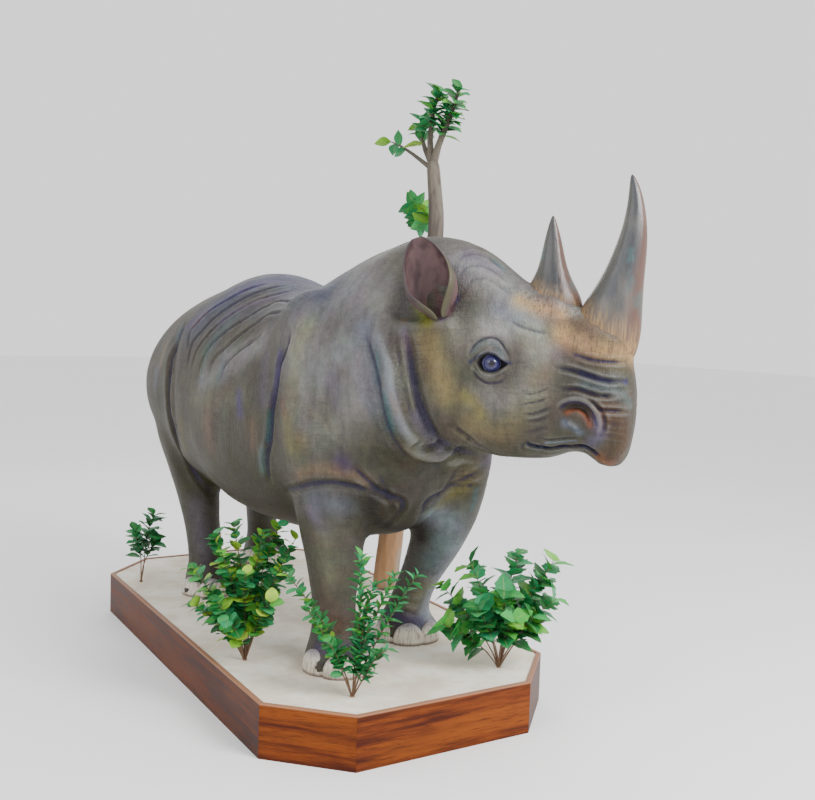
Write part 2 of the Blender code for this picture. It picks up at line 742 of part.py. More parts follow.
def add_leaf(bm, edge, top, under):
    rim = [bm.verts.new(point) for point in edge]
    faces = []
    for centre, step in ((bm.verts.new(top), 1), (bm.verts.new(under), -1)):
        for i in range(len(rim)):
            faces.append(bm.faces.new((rim[i], rim[(i + step) % len(rim)], centre)))
    bmesh.ops.recalc_face_normals(bm, faces=faces)


def clear_of(surface, points):
    """Whether every point is outside the hide and off it by at least LEAF_TO_HIDE."""
    for point in points:
        place, normal, _, away = surface.find_nearest(point)
        if away < LEAF_TO_HIDE or (point - place).dot(normal) < 0:
            return False
    return True


def grow_leaves(bm, path, size, count, surface, bare=0.30, first_turn=0.0):
    """Leaves up a stem, each turned on from the last, where they clear the hide."""
    path = [Vector(point) for point in path]
    for i in range(count):
        share = bare + (1 - bare) * (i + 1) / count
        place = share * (len(path) - 1)
        low = min(int(place), len(path) - 2)
        base = path[low].lerp(path[low + 1], min(place - low, 0.97))
        run = (path[low + 1] - path[low]).normalized()
        side = run.cross(Vector((0.1, 1, 0.2))).normalized()
        out = Matrix.Rotation(first_turn + i * GOLDEN_TURN, 3, run) @ side
        way = (math.cos(LEAF_RISE) * out + math.sin(LEAF_RISE) * run).normalized()
        edge, top, under = leaf_points(base, way, way.cross(run).normalized(), size)
        if clear_of(surface, edge[1:]):
            add_leaf(bm, edge, top, under)


def fused(collection, name, finish, wood, leaves):
    """One solid from the woody part and its leaves, which overlap it where they grow."""
    plant = object_from(wood, name, collection, finish)
    foliage = object_from(leaves, name + "_leaves", collection, finish)
    join = plant.modifiers.new("leaves", "BOOLEAN")
    join.operation = "UNION"
    join.use_self = True
    join.object = foliage
    settled(plant)
    bpy.data.objects.remove(foliage)


def add_peg(bm, foot, radius, low, high):
    """A short upright prism, for a plant's peg or for the hole that it stands in."""
    turns = [2 * math.pi * i / PEG_SIDES for i in range(PEG_SIDES)]
    add_prism(bm, [(foot.x + radius * math.cos(t), foot.y + radius * math.sin(t)) for t in turns], low, high)


def make_plant(name, collection, cutters, surface, finish):
    """One plant, and the cutter for the hole that its peg is pushed into."""
    (wide, long), leaf, count, ends = PLANTS[name]
    foot = Vector((wide * SHEET_WIDTH / 2, long * SHEET_LENGTH / 2, DECK_TOP))
    across = Vector((math.cos(CORNER_SIDE), math.sin(CORNER_SIDE), 0))
    outward = Vector((math.sin(CORNER_SIDE), -math.cos(CORNER_SIDE), 0))
    wood, leaves = bmesh.new(), bmesh.new()
    add_peg(wood, foot, PEG_RADIUS, DECK_TOP - PEG_DEPTH + FIT_GAP, DECK_TOP + PEG_RADIUS)
    for i, (side, height, out) in enumerate(ends):
        spread = side * across + out * outward
        shares = [k / STEM_STEPS for k in range(STEM_STEPS + 1)]
        path = [foot + t * (0.7 + 0.3 * t) * spread + t * (1.1 - 0.1 * t) * height * UP for t in shares]
        add_branch(wood, path, [STEM_RADIUS * (1 - STEM_TAPER * t) for t in shares])
        grow_leaves(leaves, path, leaf, count, surface, first_turn=i)
    bore = bmesh.new()
    bore_radius = PEG_RADIUS + FIT_GAP / math.cos(math.pi / PEG_SIDES)
    add_peg(bore, foot, bore_radius, DECK_TOP - PEG_DEPTH, DECK_TOP + PEG_RADIUS)
    hole = object_from(bore, name + "_hole", cutters)
    hole.hide_render = True
    hole.display_type = "WIRE"
    fused(collection, name, finish, wood, leaves)
    return hole


def make_tree(collection, surface, finish):
    foot_across = SHEET_WIDTH / 2 - TREE_FOOT_RADIUS - TREE_EDGE_GAP
    barrel = max(row[4] for row in TORSO) * SHARE
    beside_flank = min(TRUNK, key=lambda row: abs(row[1] - 1))
    flank_across = barrel + beside_flank[3] * TREE_FOOT_RADIUS + TREE_FLANK_GAP
    base = DECK_TOP + FIT_GAP
    path, radii = [], []
    for height, way, back, thick in TRUNK:
        across = foot_across + way * (flank_across - foot_across)
        path.append(Vector((across, back * SHARE, base + height * TREE_HEIGHT)))
        radii.append(TREE_FOOT_RADIUS * thick)
    wood, leaves = bmesh.new(), bmesh.new()
    add_loft(wood, [oval(p, (1, 0, 0), (0, 1, 0), r, r, sides=TRUNK_SIDES) for p, r in zip(path, radii)])
    for points, (thick, thin), count in BRANCHES:
        branch = [Vector((path[-1].x + out, back * SHARE, base + height * TREE_HEIGHT)) for height, out, back in points]
        steps = len(branch) - 1
        girths = [thick + (thin - thick) * k / steps for k in range(steps + 1)]
        add_branch(wood, branch, girths, sides=BRANCH_SIDES)
        grow_leaves(leaves, branch, TREE_LEAF, count, surface, bare=0.45)
    fused(collection, "tree", finish, wood, leaves)


def main():
    clear_scene()
    parts = new_collection("replica_rhinoceros_mount")
    cutters = new_collection("cutters")
    hide_finish = material("painted hide", (0.22, 0.20, 0.17), 0.6)
    eye_finish = material("glass eye", (0.03, 0.03, 0.06), 0.1)
    sand_finish = material("sand deck", (0.62, 0.57, 0.47), 0.9)
    wood_finish = material("hardwood", (0.30, 0.12, 0.05), 0.45)
    leaf_finish = material("cloth leaves", (0.06, 0.22, 0.07), 0.6)
    bark_finish = material("bark and leaves", (0.24, 0.20, 0.15), 0.8)
    hide = make_rhino(parts, cutters, hide_finish, eye_finish)
    bpy.context.view_layer.update()
    surface = BVHTree.FromObject(hide, bpy.context.evaluated_depsgraph_get())
    make_tree(parts, surface, bark_finish)
    holes = [make_plant(name, parts, cutters, surface, leaf_finish) for name in PLANTS]
    make_platform(parts, sand_finish, holes)
    make_boards(parts, wood_finish)


main()
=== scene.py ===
# %% [markdown]
# # A life-size rhinoceros on its plinth
# The real object is a display mount: a life-size animal cast in resin and airbrushed, on a low octagonal
# box with a sand-coated top and varnished boards, with cloth plants stuck into it and a small tree behind
# its left shoulder. The solids give every main form and size. Here they get the forms that solids can't
# carry: wrinkled hide, grained horns, cupped ears, nails, leaves, and the paint on all of them.

# %% Load the solids
import math
import random

import bpy
import numpy as np
from mathutils import Matrix, Vector
from mathutils.bvhtree import BVHTree


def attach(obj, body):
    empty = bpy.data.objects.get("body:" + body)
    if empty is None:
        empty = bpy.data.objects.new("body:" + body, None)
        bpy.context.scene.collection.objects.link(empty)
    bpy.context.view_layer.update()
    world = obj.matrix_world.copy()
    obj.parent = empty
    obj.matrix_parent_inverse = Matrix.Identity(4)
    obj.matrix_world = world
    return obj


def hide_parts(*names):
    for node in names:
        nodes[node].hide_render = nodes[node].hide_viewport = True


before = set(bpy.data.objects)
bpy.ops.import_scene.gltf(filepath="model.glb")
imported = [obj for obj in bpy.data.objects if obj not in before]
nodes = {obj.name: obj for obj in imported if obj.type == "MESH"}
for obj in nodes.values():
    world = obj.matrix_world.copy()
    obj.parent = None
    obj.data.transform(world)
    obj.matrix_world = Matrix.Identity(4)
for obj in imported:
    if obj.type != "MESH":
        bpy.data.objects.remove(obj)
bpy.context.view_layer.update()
bpy.ops.object.select_all(action="DESELECT")

# %% [markdown]
# ## The camera
# The photograph looks at the animal's right side from in front. The camera is placed where the plinth's
# corners fall on the right spots of an 815 x 800 picture. Its three axes are worked out from an azimuth, an
# elevation and a slight roll, so that a line of sight can also be thrown through any spot of the picture.
# That is how wrinkles are drawn later.

# %% Place the camera
CAMERA_PLACE = Vector((-1.9936, -4.1521, 1.5587))
AZIMUTH, ELEVATION, ROLL = (math.radians(angle) for angle in (-31.366, 4.546, 1.953))
PICTURE_WIDTH, PICTURE_HEIGHT = 815, 800
FOCAL = 1000  # in pixels of that picture
SENSOR = 36
UP = Vector((0, 0, 1))

level = math.cos(ELEVATION)
backward = Vector((math.sin(AZIMUTH) * level, -math.cos(AZIMUTH) * level, math.sin(ELEVATION)))
across = (-backward).cross(UP).normalized()
upright = across.cross(-backward)
camera_right = math.cos(ROLL) * across + math.sin(ROLL) * upright
camera_up = math.cos(ROLL) * upright - math.sin(ROLL) * across

camera_data = bpy.data.cameras.new("camera")
camera_data.sensor_width = SENSOR
camera_data.lens = SENSOR * FOCAL / PICTURE_WIDTH
camera = bpy.data.objects.new("camera", camera_data)
camera_axes = Matrix((camera_right, camera_up, backward)).transposed()
camera.matrix_world = Matrix.Translation(CAMERA_PLACE) @ camera_axes.to_4x4()
bpy.context.scene.collection.objects.link(camera)
bpy.context.scene.camera = camera


def sight(u, v):
    """The direction in which the camera sees a spot of the picture."""
    right, down = (u - PICTURE_WIDTH / 2) / FOCAL, (v - PICTURE_HEIGHT / 2) / FOCAL
    return (-backward + right * camera_right - down * camera_up).normalized()


print("camera lens", round(camera_data.lens, 2), "mm")

# %% [markdown]
# ## Floor and light
# The photograph is cut out on white, so the floor and the surroundings are plain and pale. A broad lamp
# from the camera's right gives the long soft highlights on the horns, a weaker one fills the left, and the
# pale surroundings light the rest. All of this is stage: it isn't part of the object.

# %% Floor, lamps and surroundings
LAMPS = (  # name, place, what it is aimed at, size, watts
    ("key_lamp", (1.6, -4.8, 4.2), (0, -0.4, 1.0), 2.4, 400),
    ("fill_lamp", (-4.6, -1.6, 3.2), (0, 0, 1.0), 3.0, 75),
    ("rim_lamp", (1.5, 4.5, 4.0), (0, 0.3, 1.2), 2.5, 40),
)
SURROUNDINGS = 1.35  # how strongly they shine

bpy.ops.mesh.primitive_plane_add(size=60, location=(0, 0, 0))
floor = bpy.context.object
floor.name = "floor"


def add_lamp(name, place, aim, size, watts):
    data = bpy.data.lights.new(name, "AREA")
    data.size = size
    data.energy = watts
    lamp = bpy.data.objects.new(name, data)
    lamp.location = place
    lamp.rotation_euler = (Vector(aim) - Vector(place)).to_track_quat("-Z", "Y").to_euler()
    bpy.context.scene.collection.objects.link(lamp)


for lamp in LAMPS:
    add_lamp(*lamp)
world = bpy.data.worlds.new("pale surroundings")
world.use_nodes = True
background = world.node_tree.nodes["Background"]
background.inputs["Color"].default_value = (1, 1, 1, 1)
background.inputs["Strength"].default_value = SURROUNDINGS
bpy.context.scene.world = world
print("stage:", floor.name, "and", len(bpy.data.lights), "lamps")

# %% [markdown]
# ## Shader maths as Python
# Paint on the real piece is layered by hand: a ground colour, streaks, patches, dirt in the folds. A node
# tree can do the same, but is hard to read. One small class wraps a socket, so that an expression such as
# `1 - mask * 2` adds its Math nodes, and one method makes every other node from its type, its settings and
# its sockets.

# %% Wires


class Wire:
    """A shader socket that can stand in a Python expression."""

    def __init__(self, finish, socket):
        self.finish, self.socket = finish, socket

    def maths(self, operation, *values):
        return self.finish.node("Math", {"operation": operation}, dict(enumerate(values)))

    def sine(self):
        return self.maths("SINE", self)

    def size(self):
        """The value without its sign."""
        return self.maths("ABSOLUTE", self)

    def __add__(self, other):
        return self.maths("ADD", self, other)

    def __sub__(self, other):
        return self.maths("SUBTRACT", self, other)

    def __rsub__(self, other):
        return self.maths("SUBTRACT", other, self)

    def __mul__(self, other):
        return self.maths("MULTIPLY", self, other)

    __radd__ = __add__
    __rmul__ = __mul__

    def between(self, low, high):
        """0 at low and below, 1 at high and above, and smooth in between."""
        settings = {"interpolation_type": "SMOOTHSTEP"}
        return self.finish.node("MapRange", settings, {"Value": self, "From Min": low, "From Max": high})

# %% [markdown]
# ## A finish in the making
# Every finish starts from one Principled shader. The nodes that most of them need, such as noise, a stored
# number, one colour over another or a relief, get a short method each, and done() joins the results to the
# shader. The floor is the first to get one.

# %% Finishes


class Finish:
    """A material in the making."""

    def __init__(self, name, roughness):
        self.material = bpy.data.materials.new(name)
        self.material.use_nodes = True
        self.tree = self.material.node_tree
        self.shader = self.tree.nodes["Principled BSDF"]
        self.shader.inputs["Roughness"].default_value = roughness

    def feed(self, socket, value):
        if isinstance(value, Wire):
            self.tree.links.new(value.socket, socket)
        else:
            socket.default_value = value

    def node(self, kind, settings=None, sockets=None, out=0):
        made = self.tree.nodes.new("ShaderNode" + kind)
        for name, value in (settings or {}).items():
            if name == "stops":
                ramp = made.color_ramp.elements
                while len(ramp) < len(value):
                    ramp.new(0.5)
                for stop, (place, colour) in zip(ramp, value):
                    stop.position = place
                    stop.color = (*colour, 1)
            else:
                setattr(made, name, value)
        for name, value in (sockets or {}).items():
            self.feed(made.inputs[name], value)
        return Wire(self, made.outputs[out])

    def place(self, stretch=(1, 1, 1), turn=0.0):
        """Object coordinates, turned about the upright axis and then stretched."""
        here = self.node("TexCoord", out="Object")
        if turn:
            here = self.node("Mapping", {}, {"Vector": here, "Rotation": (0, 0, turn)})
        return self.node("Mapping", {}, {"Vector": here, "Scale": stretch})

    def noise(self, where, scale, detail=4.0, roughness=0.55):
        sockets = {"Vector": where, "Scale": scale, "Detail": detail, "Roughness": roughness}
        return self.node("TexNoise", {}, sockets)

    def cells(self, where, scale, feature="F1"):
        return self.node("TexVoronoi", {"feature": feature}, {"Vector": where, "Scale": scale})

    def attribute(self, name, out="Fac"):
        return self.node("Attribute", {"attribute_name": name}, out=out)

    def mix(self, amount, under, over, how="MIX"):
        """One colour over another."""
        under, over = (colour if isinstance(colour, Wire) else (*colour, 1) for colour in (under, over))
        settings = {"data_type": "RGBA", "blend_type": how}
        return self.node("Mix", settings, {0: amount, 6: under, 7: over}, out=2)

    def bump(self, height, depth, under=None):
        """A relief on the surface: height runs from 0 to 1, and depth is in metres."""
        sockets = {"Height": height, "Distance": depth, "Strength": 1.0}
        if under:
            sockets["Normal"] = under
        return self.node("Bump", {}, sockets)

    def done(self, colour, roughness=None, normal=None):
        for name, value in (("Base Color", colour), ("Roughness", roughness), ("Normal", normal)):
            if value is not None:
                self.feed(self.shader.inputs[name], value)
        return self.material


def floor_finish():
    paper = Finish("pale floor", 0.9)
    cloudy = paper.noise(paper.place(), 0.4)
    return paper.done(paper.mix(cloudy, (0.86, 0.86, 0.86), (0.90, 0.90, 0.90)))


floor.data.materials.append(floor_finish())
print("floor:", floor.data.materials[0].name)

# %% [markdown]
# ## Hands for the modelling
# An operator works on whatever is selected. These few helpers pick one piece, join several, apply
# modifiers, and read or write a mesh's points as one array, which is far quicker than vertex by vertex.
# Numbers can be kept on the points too.

# %% Helpers for pieces and points


def take(piece):
    """Selects one piece alone and makes it the active one."""
    bpy.ops.object.select_all(action="DESELECT")
    piece.select_set(True)
    bpy.context.view_layer.objects.active = piece
    return piece


def apply_modifiers(piece):
    take(piece)
    for modifier in list(piece.modifiers):
        bpy.ops.object.modifier_apply(modifier=modifier.name)


def read(mesh, what="co"):
    values = np.empty(len(mesh.vertices) * 3)
    mesh.vertices.foreach_get(what, values)
    return values.reshape(-1, 3)


def write(mesh, points):
    mesh.vertices.foreach_set("co", points.ravel())
    mesh.update()


def mark(mesh, name, values):
    """Keeps a number or a colour on each point, under a name that a finish can read."""
    kind, part = "FLOAT", "value"
    if values.ndim == 2:
        kind, part = "FLOAT_COLOR", "color"
        values = np.column_stack([values, np.ones(len(values))])
    layer = mesh.attributes.get(name) or mesh.attributes.new(name, kind, "POINT")
    layer.data.foreach_set(part, values.ravel())


def bundle(name, pieces):
    """Joins pieces into one."""
    bpy.ops.object.select_all(action="DESELECT")
    for piece in pieces:
        piece.select_set(True)
    bpy.context.view_layer.objects.active = pieces[0]
    bpy.ops.object.join()
    pieces[0].name = name
    return pieces[0]


def triangles(piece):
    return sum(len(face.vertices) - 2 for face in piece.data.polygons)


def finished(piece, slot, *replaced):
    """Sets a piece on the mount and hides the solids it stands for. The slot is not used."""
    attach(piece, "root")
    if replaced:
        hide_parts(*replaced)
    print(piece.name, triangles(piece), "triangles")
    return piece

# %% [markdown]
# ## The head's own axes
# The animal looks to its left, so the head is turned 35 degrees from the body. Horns, ears, eyes and every
# wrinkle of the face are given as forward, left and height in the head's own frame, and one matrix takes
# them to the mount.

# %% The head's frame
GROUND = 0.1953  # the soles, just above the deck
HEAD_TURN = math.radians(35)
FORWARD = Vector((math.sin(HEAD_TURN), -math.cos(HEAD_TURN), 0))
LEFT = Vector((math.cos(HEAD_TURN), math.sin(HEAD_TURN), 0))
HEAD = Matrix.Translation((0.060, -1.120, GROUND)) @ Matrix((FORWARD, LEFT, UP)).transposed().to_4x4()
HEAD_BACK = HEAD.inverted()
EYE = {"right": Vector((0.186, -0.149, 1.226)), "left": Vector((0.186, 0.149, 1.226))}
EYE_RADIUS = 0.033
SIDES = {"right": -LEFT, "left": LEFT}  # each side of the head, and the way outward from it


def on_head(forward, left, height):
    return HEAD @ Vector((forward, left, height))


def in_head(points):
    """Many points at once, as forward, left and height."""
    turn = np.array(HEAD_BACK.to_3x3())
    return points @ turn.T + np.array(HEAD_BACK.translation)


print("head turned", round(math.degrees(HEAD_TURN)), "degrees")

# %% [markdown]
# ## The hide, from the solid to one smooth skin
# The solid animal has flat facets, and its horns and ears are part of it. A copy is welded, because the
# solid's mesh is loose triangles. The horns and ears are cut off with boxes, since they come back as finer
# pieces of their own.

# %% Copy the solid and cut off the horns and ears
CUTS = (  # centre, tilt in degrees and its axis, size of the box
    ((0.545, 0, 1.373), 32, "Y", (1.30, 0.34, 0.90)),
    ((0.340, 0, 1.484), 21, "Y", (0.24, 0.30, 0.40)),
    ((-0.030, -0.135, 1.53), 75.6, "X", (0.30, 0.36, 0.30)),
    ((-0.030, 0.135, 1.53), -75.6, "X", (0.30, 0.36, 0.30)),
)


def welded_copy(node, name):
    piece = bpy.data.objects.new(name, nodes[node].data.copy())
    piece.data.materials.clear()
    bpy.context.scene.collection.objects.link(piece)
    take(piece)
    bpy.ops.object.mode_set(mode="EDIT")
    bpy.ops.mesh.select_all(action="SELECT")
    bpy.ops.mesh.remove_doubles(threshold=1e-5)
    bpy.ops.object.mode_set(mode="OBJECT")
    return piece


def cut_away(piece, centre, tilt, size):
    """Takes a tilted box, given in the head's frame, off a piece. It reaches up from its centre."""
    bpy.ops.object.select_all(action="DESELECT")
    bpy.ops.mesh.primitive_cube_add(size=1)
    box = bpy.context.object
    box.data.transform(Matrix.Diagonal((*size, 1)) @ Matrix.Translation((0, 0, 0.5)))
    box.data.transform(HEAD @ Matrix.Translation(centre) @ tilt)
    cut = piece.modifiers.new("cut", "BOOLEAN")
    cut.operation = "DIFFERENCE"
    cut.object = box
    apply_modifiers(piece)
    bpy.data.objects.remove(box)


skin = welded_copy("rhino", "hide")
for centre, degrees, axis, size in CUTS:
    cut_away(skin, centre, Matrix.Rotation(math.radians(degrees), 4, axis), size)
print("cut:", triangles(skin), "triangles, box", [round(d, 3) for d in skin.dimensions])

# %% [markdown]
# ## One even skin
# The eye sockets are filled with clay, and the temples under the ears are built up. A voxel remesh then
# gives one even skin of small squares. A smoothing that first shrinks and then swells by nearly as much
# takes the facets away, while the animal keeps its girth. The face is smoothed least, because its planes
# matter most.

# %% Remesh the skin and smooth its facets away
FIRST_SQUARE = 0.0228
TEMPLE, TEMPLE_RADII = Vector((0.000, 0.172, 1.342)), (0.058, 0.048, 0.048)
FACE = (0.40, 0, 1.15)
FACE_REACH, FACE_EDGE = 0.42, 0.80  # smoothed least within the first, fully beyond the second


def add_clay(piece, centre, radii):
    """Presses an oval lump of clay, given in the head's frame, onto a piece."""
    bpy.ops.object.select_all(action="DESELECT")
    bpy.ops.mesh.primitive_uv_sphere_add(segments=24, ring_count=12, radius=1)
    lump = bpy.context.object
    lump.data.transform(HEAD @ Matrix.Translation(centre) @ Matrix.Diagonal((*radii, 1)))
    bundle(piece.name, [piece, lump])


for side in (-1, 1):
    mirror = Vector((1, side, 1))
    add_clay(skin, EYE["left"] * mirror, (EYE_RADIUS, EYE_RADIUS, EYE_RADIUS))
    add_clay(skin, TEMPLE * mirror, TEMPLE_RADII)


def voxels(piece, size):
    remesh = piece.modifiers.new("one skin", "REMESH")
    remesh.mode = "VOXEL"
    remesh.voxel_size = size
    apply_modifiers(piece)


def relax(mesh, rounds, share=1.0, ease=0.5, regain=-0.53):
    """Moves each point towards the middle of its neighbours, then back again by a little more."""
    points, count = read(mesh), len(mesh.vertices)
    ends = np.empty(len(mesh.edges) * 2, dtype=np.int64)
    mesh.edges.foreach_get("vertices", ends)
    one, other = ends.reshape(-1, 2).T
    neighbours = np.bincount(ends, minlength=count)[:, None]
    for step in (ease, regain) * rounds:
        total = np.zeros_like(points)
        for k in range(3):
            total[:, k] += np.bincount(one, points[other, k], count)
            total[:, k] += np.bincount(other, points[one, k], count)
        points += step * share * (total / neighbours - points)
    write(mesh, points)


def fade(distance, inner, outer):
    """1 within inner, 0 beyond outer, and smooth in between."""
    t = np.clip((outer - distance) / (outer - inner), 0, 1)
    return t * t * (3 - 2 * t)


voxels(skin, FIRST_SQUARE)
from_face = np.linalg.norm(read(skin.data) - np.array(on_head(*FACE)), axis=1)
relax(skin.data, 14)
relax(skin.data, 50, share=1 - fade(from_face, FACE_REACH, FACE_EDGE)[:, None])
print("one skin:", triangles(skin), "triangles")

# %% [markdown]
# ## Drawing on the hide
# A sculptor draws each fold with a tool and then works its edges. Here a fold is a path: the spots it
# passes through in the picture, thrown onto the skin along the camera's lines of sight. The same fold is
# drawn on the far side, mirrored in the head's own axes or across the body. The surface gathers how far
# each point will move and its painted shade in folds and highlight on ridges, and settles all of it at once.

# %% The skin as a drawing surface


def read_fold_shading(mesh):
    """How much painted shade each point holds in a fold, from 0 to 1, and painted highlight on a ridge, below
    0.
    """
    wash = np.zeros(len(mesh.vertices))
    if "wash" in mesh.attributes:
        mesh.attributes["wash"].data.foreach_get("value", wash)
    return wash


class Surface:
    """The skin as it is now: its points and normals, and a way to find the nearest place on it."""

    def __init__(self, piece):
        self.mesh = piece.data
        self.points, self.normals = read(self.mesh), read(self.mesh, "normal")
        self.height, self.wash = np.zeros(len(self.points)), read_fold_shading(self.mesh)
        self.tree = BVHTree.FromObject(piece, bpy.context.evaluated_depsgraph_get())

    def seen(self, u, v):
        return self.tree.ray_cast(CAMERA_PLACE, sight(u, v))[0]

    def nearest(self, point):
        return self.tree.find_nearest(point)[0]

    def drawn(self, spots, mirror):
        """A fold's paths on both sides: as the picture shows it, and mirrored across the head or the body."""
        shown = [place for place in (self.seen(*spot) for spot in spots) if place is not None]
        if mirror == "head":
            flipped = [HEAD @ (Matrix.Diagonal((1, -1, 1, 1)) @ (HEAD_BACK @ place)) for place in shown]
        elif mirror == "body":
            flipped = [Vector((-place.x, place.y, place.z)) for place in shown]
        else:
            return [shown]
        return [shown, [self.nearest(place) for place in flipped]]

    def settle(self):
        """Moves the points by the heights gathered so far."""
        write(self.mesh, self.points + self.height[:, None] * self.normals)
        # painted shade in the folds and painted highlight on the ridges, kept on the points
        mark(self.mesh, "wash", self.wash)

# %% [markdown]
# ## From spots to a curve
# A few spots are joined by a smooth curve that passes through each of them. Every point of the skin then
# needs its distance to that curve and how far along it lies, so that a groove can be deepest on its line
# and fade at its ends.

# %% Curves and distances


def smooth_path(places, step=0.005):
    """Close points along the smooth curve through the places."""
    rows = np.array([tuple(place) for place in places])
    rows = np.vstack([2 * rows[0] - rows[1], rows, 2 * rows[-1] - rows[-2]])
    path = []
    for a, b, c, d in zip(rows, rows[1:], rows[2:], rows[3:]):
        count = max(2, int(np.linalg.norm(c - b) / step))
        for t in np.arange(count) / count:
            curve = 2 * b + (c - a) * t + (2 * a - 5 * b + 4 * c - d) * t**2
            path.append((curve + (3 * b - a - 3 * c + d) * t**3) / 2)
    return np.array([*path, rows[-2]])


def distance_to(points, path, far):
    """How far each point is from a path, up to far, and how far along it, from 0 to 1, the point lies."""
    away, along = np.full(len(points), far), np.zeros(len(points))
    close = np.flatnonzero(np.all((points > path.min(0) - far) & (points < path.max(0) + far), axis=1))
    for i, spot in enumerate(path):
        gap = np.linalg.norm(points[close] - spot, axis=1)
        nearer = gap < away[close]
        away[close[nearer]] = gap[nearer]
        along[close[nearer]] = i / max(1, len(path) - 1)
    return away, along


def tapered(along, ends=0.15):
    return np.clip(np.minimum(along, 1 - along) / ends, 0, 1) ** 0.7

# %% [markdown]
# ## Pressing a fold
# A groove is a bell-shaped dip across its line with a lip rolled up on each side, as the tool leaves it in
# clay. It gathers painted shade, the more the deeper it is, and a ridge gets painted highlight. Small
# squares are only needed where a fold is fine, so the skin is divided near the path first.

# %% Press and divide


def press(surface, spots, depth, reach, lips=0.35, mirror="body", ends=0.15, shading=1.0):
    """A groove as deep as depth, or a ridge where depth is below zero, with its edges rolled up a little."""
    shading *= math.copysign(min(1.0, math.sqrt(abs(depth) / 0.010)), depth)
    for places in surface.drawn(spots, mirror):
        if len(places) < 2:
            continue
        away, along = distance_to(surface.points, smooth_path(places), 5 * reach)
        shape = np.exp(-((away / reach) ** 2)) - lips * np.exp(-(((away - 2.1 * reach) / reach) ** 2))
        shape[away >= 5 * reach] = 0
        surface.height -= depth * shape * tapered(along, ends)
        # painted shade gathers in a groove, and a ridge gets painted highlight
        surface.wash += shading * shape * tapered(along, ends)


def divide(piece, chosen):
    """Splits every square whose corners are all chosen into four."""
    take(piece)
    bpy.ops.object.mode_set(mode="EDIT")
    bpy.ops.mesh.select_all(action="DESELECT")
    bpy.ops.mesh.select_mode(type="VERT")
    bpy.ops.object.mode_set(mode="OBJECT")
    piece.data.vertices.foreach_set("select", chosen)
    bpy.ops.object.mode_set(mode="EDIT")
    bpy.ops.mesh.subdivide(number_cuts=1, smoothness=0.4)
    bpy.ops.object.mode_set(mode="OBJECT")


def near_any(surface, paths, reach, mirror="body"):
    """Which points lie within reach of any of the paths or their mirrored ones."""
    chosen = np.zeros(len(surface.points), dtype=bool)
    for spots in paths:
        for places in surface.drawn(spots, mirror):
            if len(places) > 1:
                chosen |= distance_to(surface.points, smooth_path(places, 0.02), reach)[0] < reach
    return chosen

# %% [markdown]
# ## The great folds
# The flank folds over the thigh and behind the shoulder, the skin of the elbow creases, and two collars of
# skin ring the throat behind the jaw. Each is a list of spots of the picture, in pixels, with its depth and
# reach in metres.

# %% Press the great folds
GREAT_FOLDS = (
    (
        ((186, 322), (180, 340), (171, 358), (168, 381), (168, 405), (175, 436), (190, 466), (214, 496)),
        0.020, 0.017,
    ),
    (
        ((291, 326), (287, 345), (280, 363), (277, 384), (272, 408), (270, 437), (266, 458), (270, 484)),
        0.017, 0.013,
    ),
    (((285, 491), (300, 487), (313, 484), (330, 483), (346, 485), (362, 489), (380, 492)), 0.012, 0.011),
    (((486, 466), (468, 478), (446, 490), (427, 503), (415, 525)), 0.014, 0.012),
    (((378, 474), (388, 494), (396, 516)), 0.006, 0.010),
)
COLLARS = (
    (
        ((372, 318), (380, 341), (388, 366), (392, 396), (404, 428), (424, 452), (450, 462), (474, 462)),
        -0.012, 0.020,
    ),
    (((364, 330), (370, 352), (377, 380), (382, 410), (393, 440), (412, 462)), 0.010, 0.012),
    (
        ((404, 322), (409, 350), (413, 375), (419, 402), (430, 428), (446, 444), (468, 453), (486, 457)),
        0.020, 0.014,
    ),
    (((395, 332), (399, 356), (404, 384), (411, 412), (424, 436)), 0.007, 0.007),
)
JAW = (((448, 421), (458, 430), (468, 437), (480, 446), (494, 453), (512, 457)), 0.012, 0.007)
ANKLES = (
    ((405, 590), (422, 594), (441, 589)), ((403, 599), (419, 604), (437, 600)),
    ((402, 609), (417, 614), (434, 610)), ((312, 612), (332, 617), (357, 612)),
    ((309, 628), (331, 634), (360, 628)), ((306, 641), (331, 648), (364, 642)),
)
FEET = ((-0.202, -0.735), (0.243, -0.518), (-0.280, 0.505), (0.226, 0.998))  # where the squares are divided
FOOT_REACH, FOOT_TOP = 0.17, 0.40
FOLD_REACH = 0.055  # how far from a fold the squares are divided
HEAD_MIDDLE, HEAD_REACH = (0.30, 0, 1.20), 0.50

surface = Surface(skin)
head_points = in_head(surface.points)
on_the_head = np.linalg.norm((head_points - HEAD_MIDDLE) / (1.0, 0.9, 1.0), axis=1) < HEAD_REACH
at_a_foot = np.zeros(len(surface.points), dtype=bool)
for x, y in FEET:
    from_foot = np.hypot(surface.points[:, 0] - x, surface.points[:, 1] - y)
    at_a_foot |= (from_foot < FOOT_REACH) & (surface.points[:, 2] < FOOT_TOP)
folds = near_any(surface, [fold[0] for fold in GREAT_FOLDS], FOLD_REACH)
folds |= near_any(surface, [fold[0] for fold in COLLARS], FOLD_REACH, "head")
divide(skin, on_the_head | at_a_foot | folds)
relax(skin.data, 3)

surface = Surface(skin)
for spots, depth, reach in GREAT_FOLDS:
    press(surface, spots, depth, reach, lips=0.15, shading=0.85)
for spots, depth, reach in (*COLLARS, JAW):
    press(surface, spots, depth, reach, lips=0.2, mirror="head", shading=0.5)
for spots in ANKLES:
    press(surface, spots, 0.006, 0.009, mirror="none", ends=0.25)
surface.settle()
print("great folds:", triangles(skin), "triangles")

# %% [markdown]
# ## The back's wrinkles
# From the dip behind the shoulder a fan of thin, even wrinkles sweeps over the loin and down the flank.
# They lie 3 to 4 cm apart, so the skin is divided once more there before they are pressed.

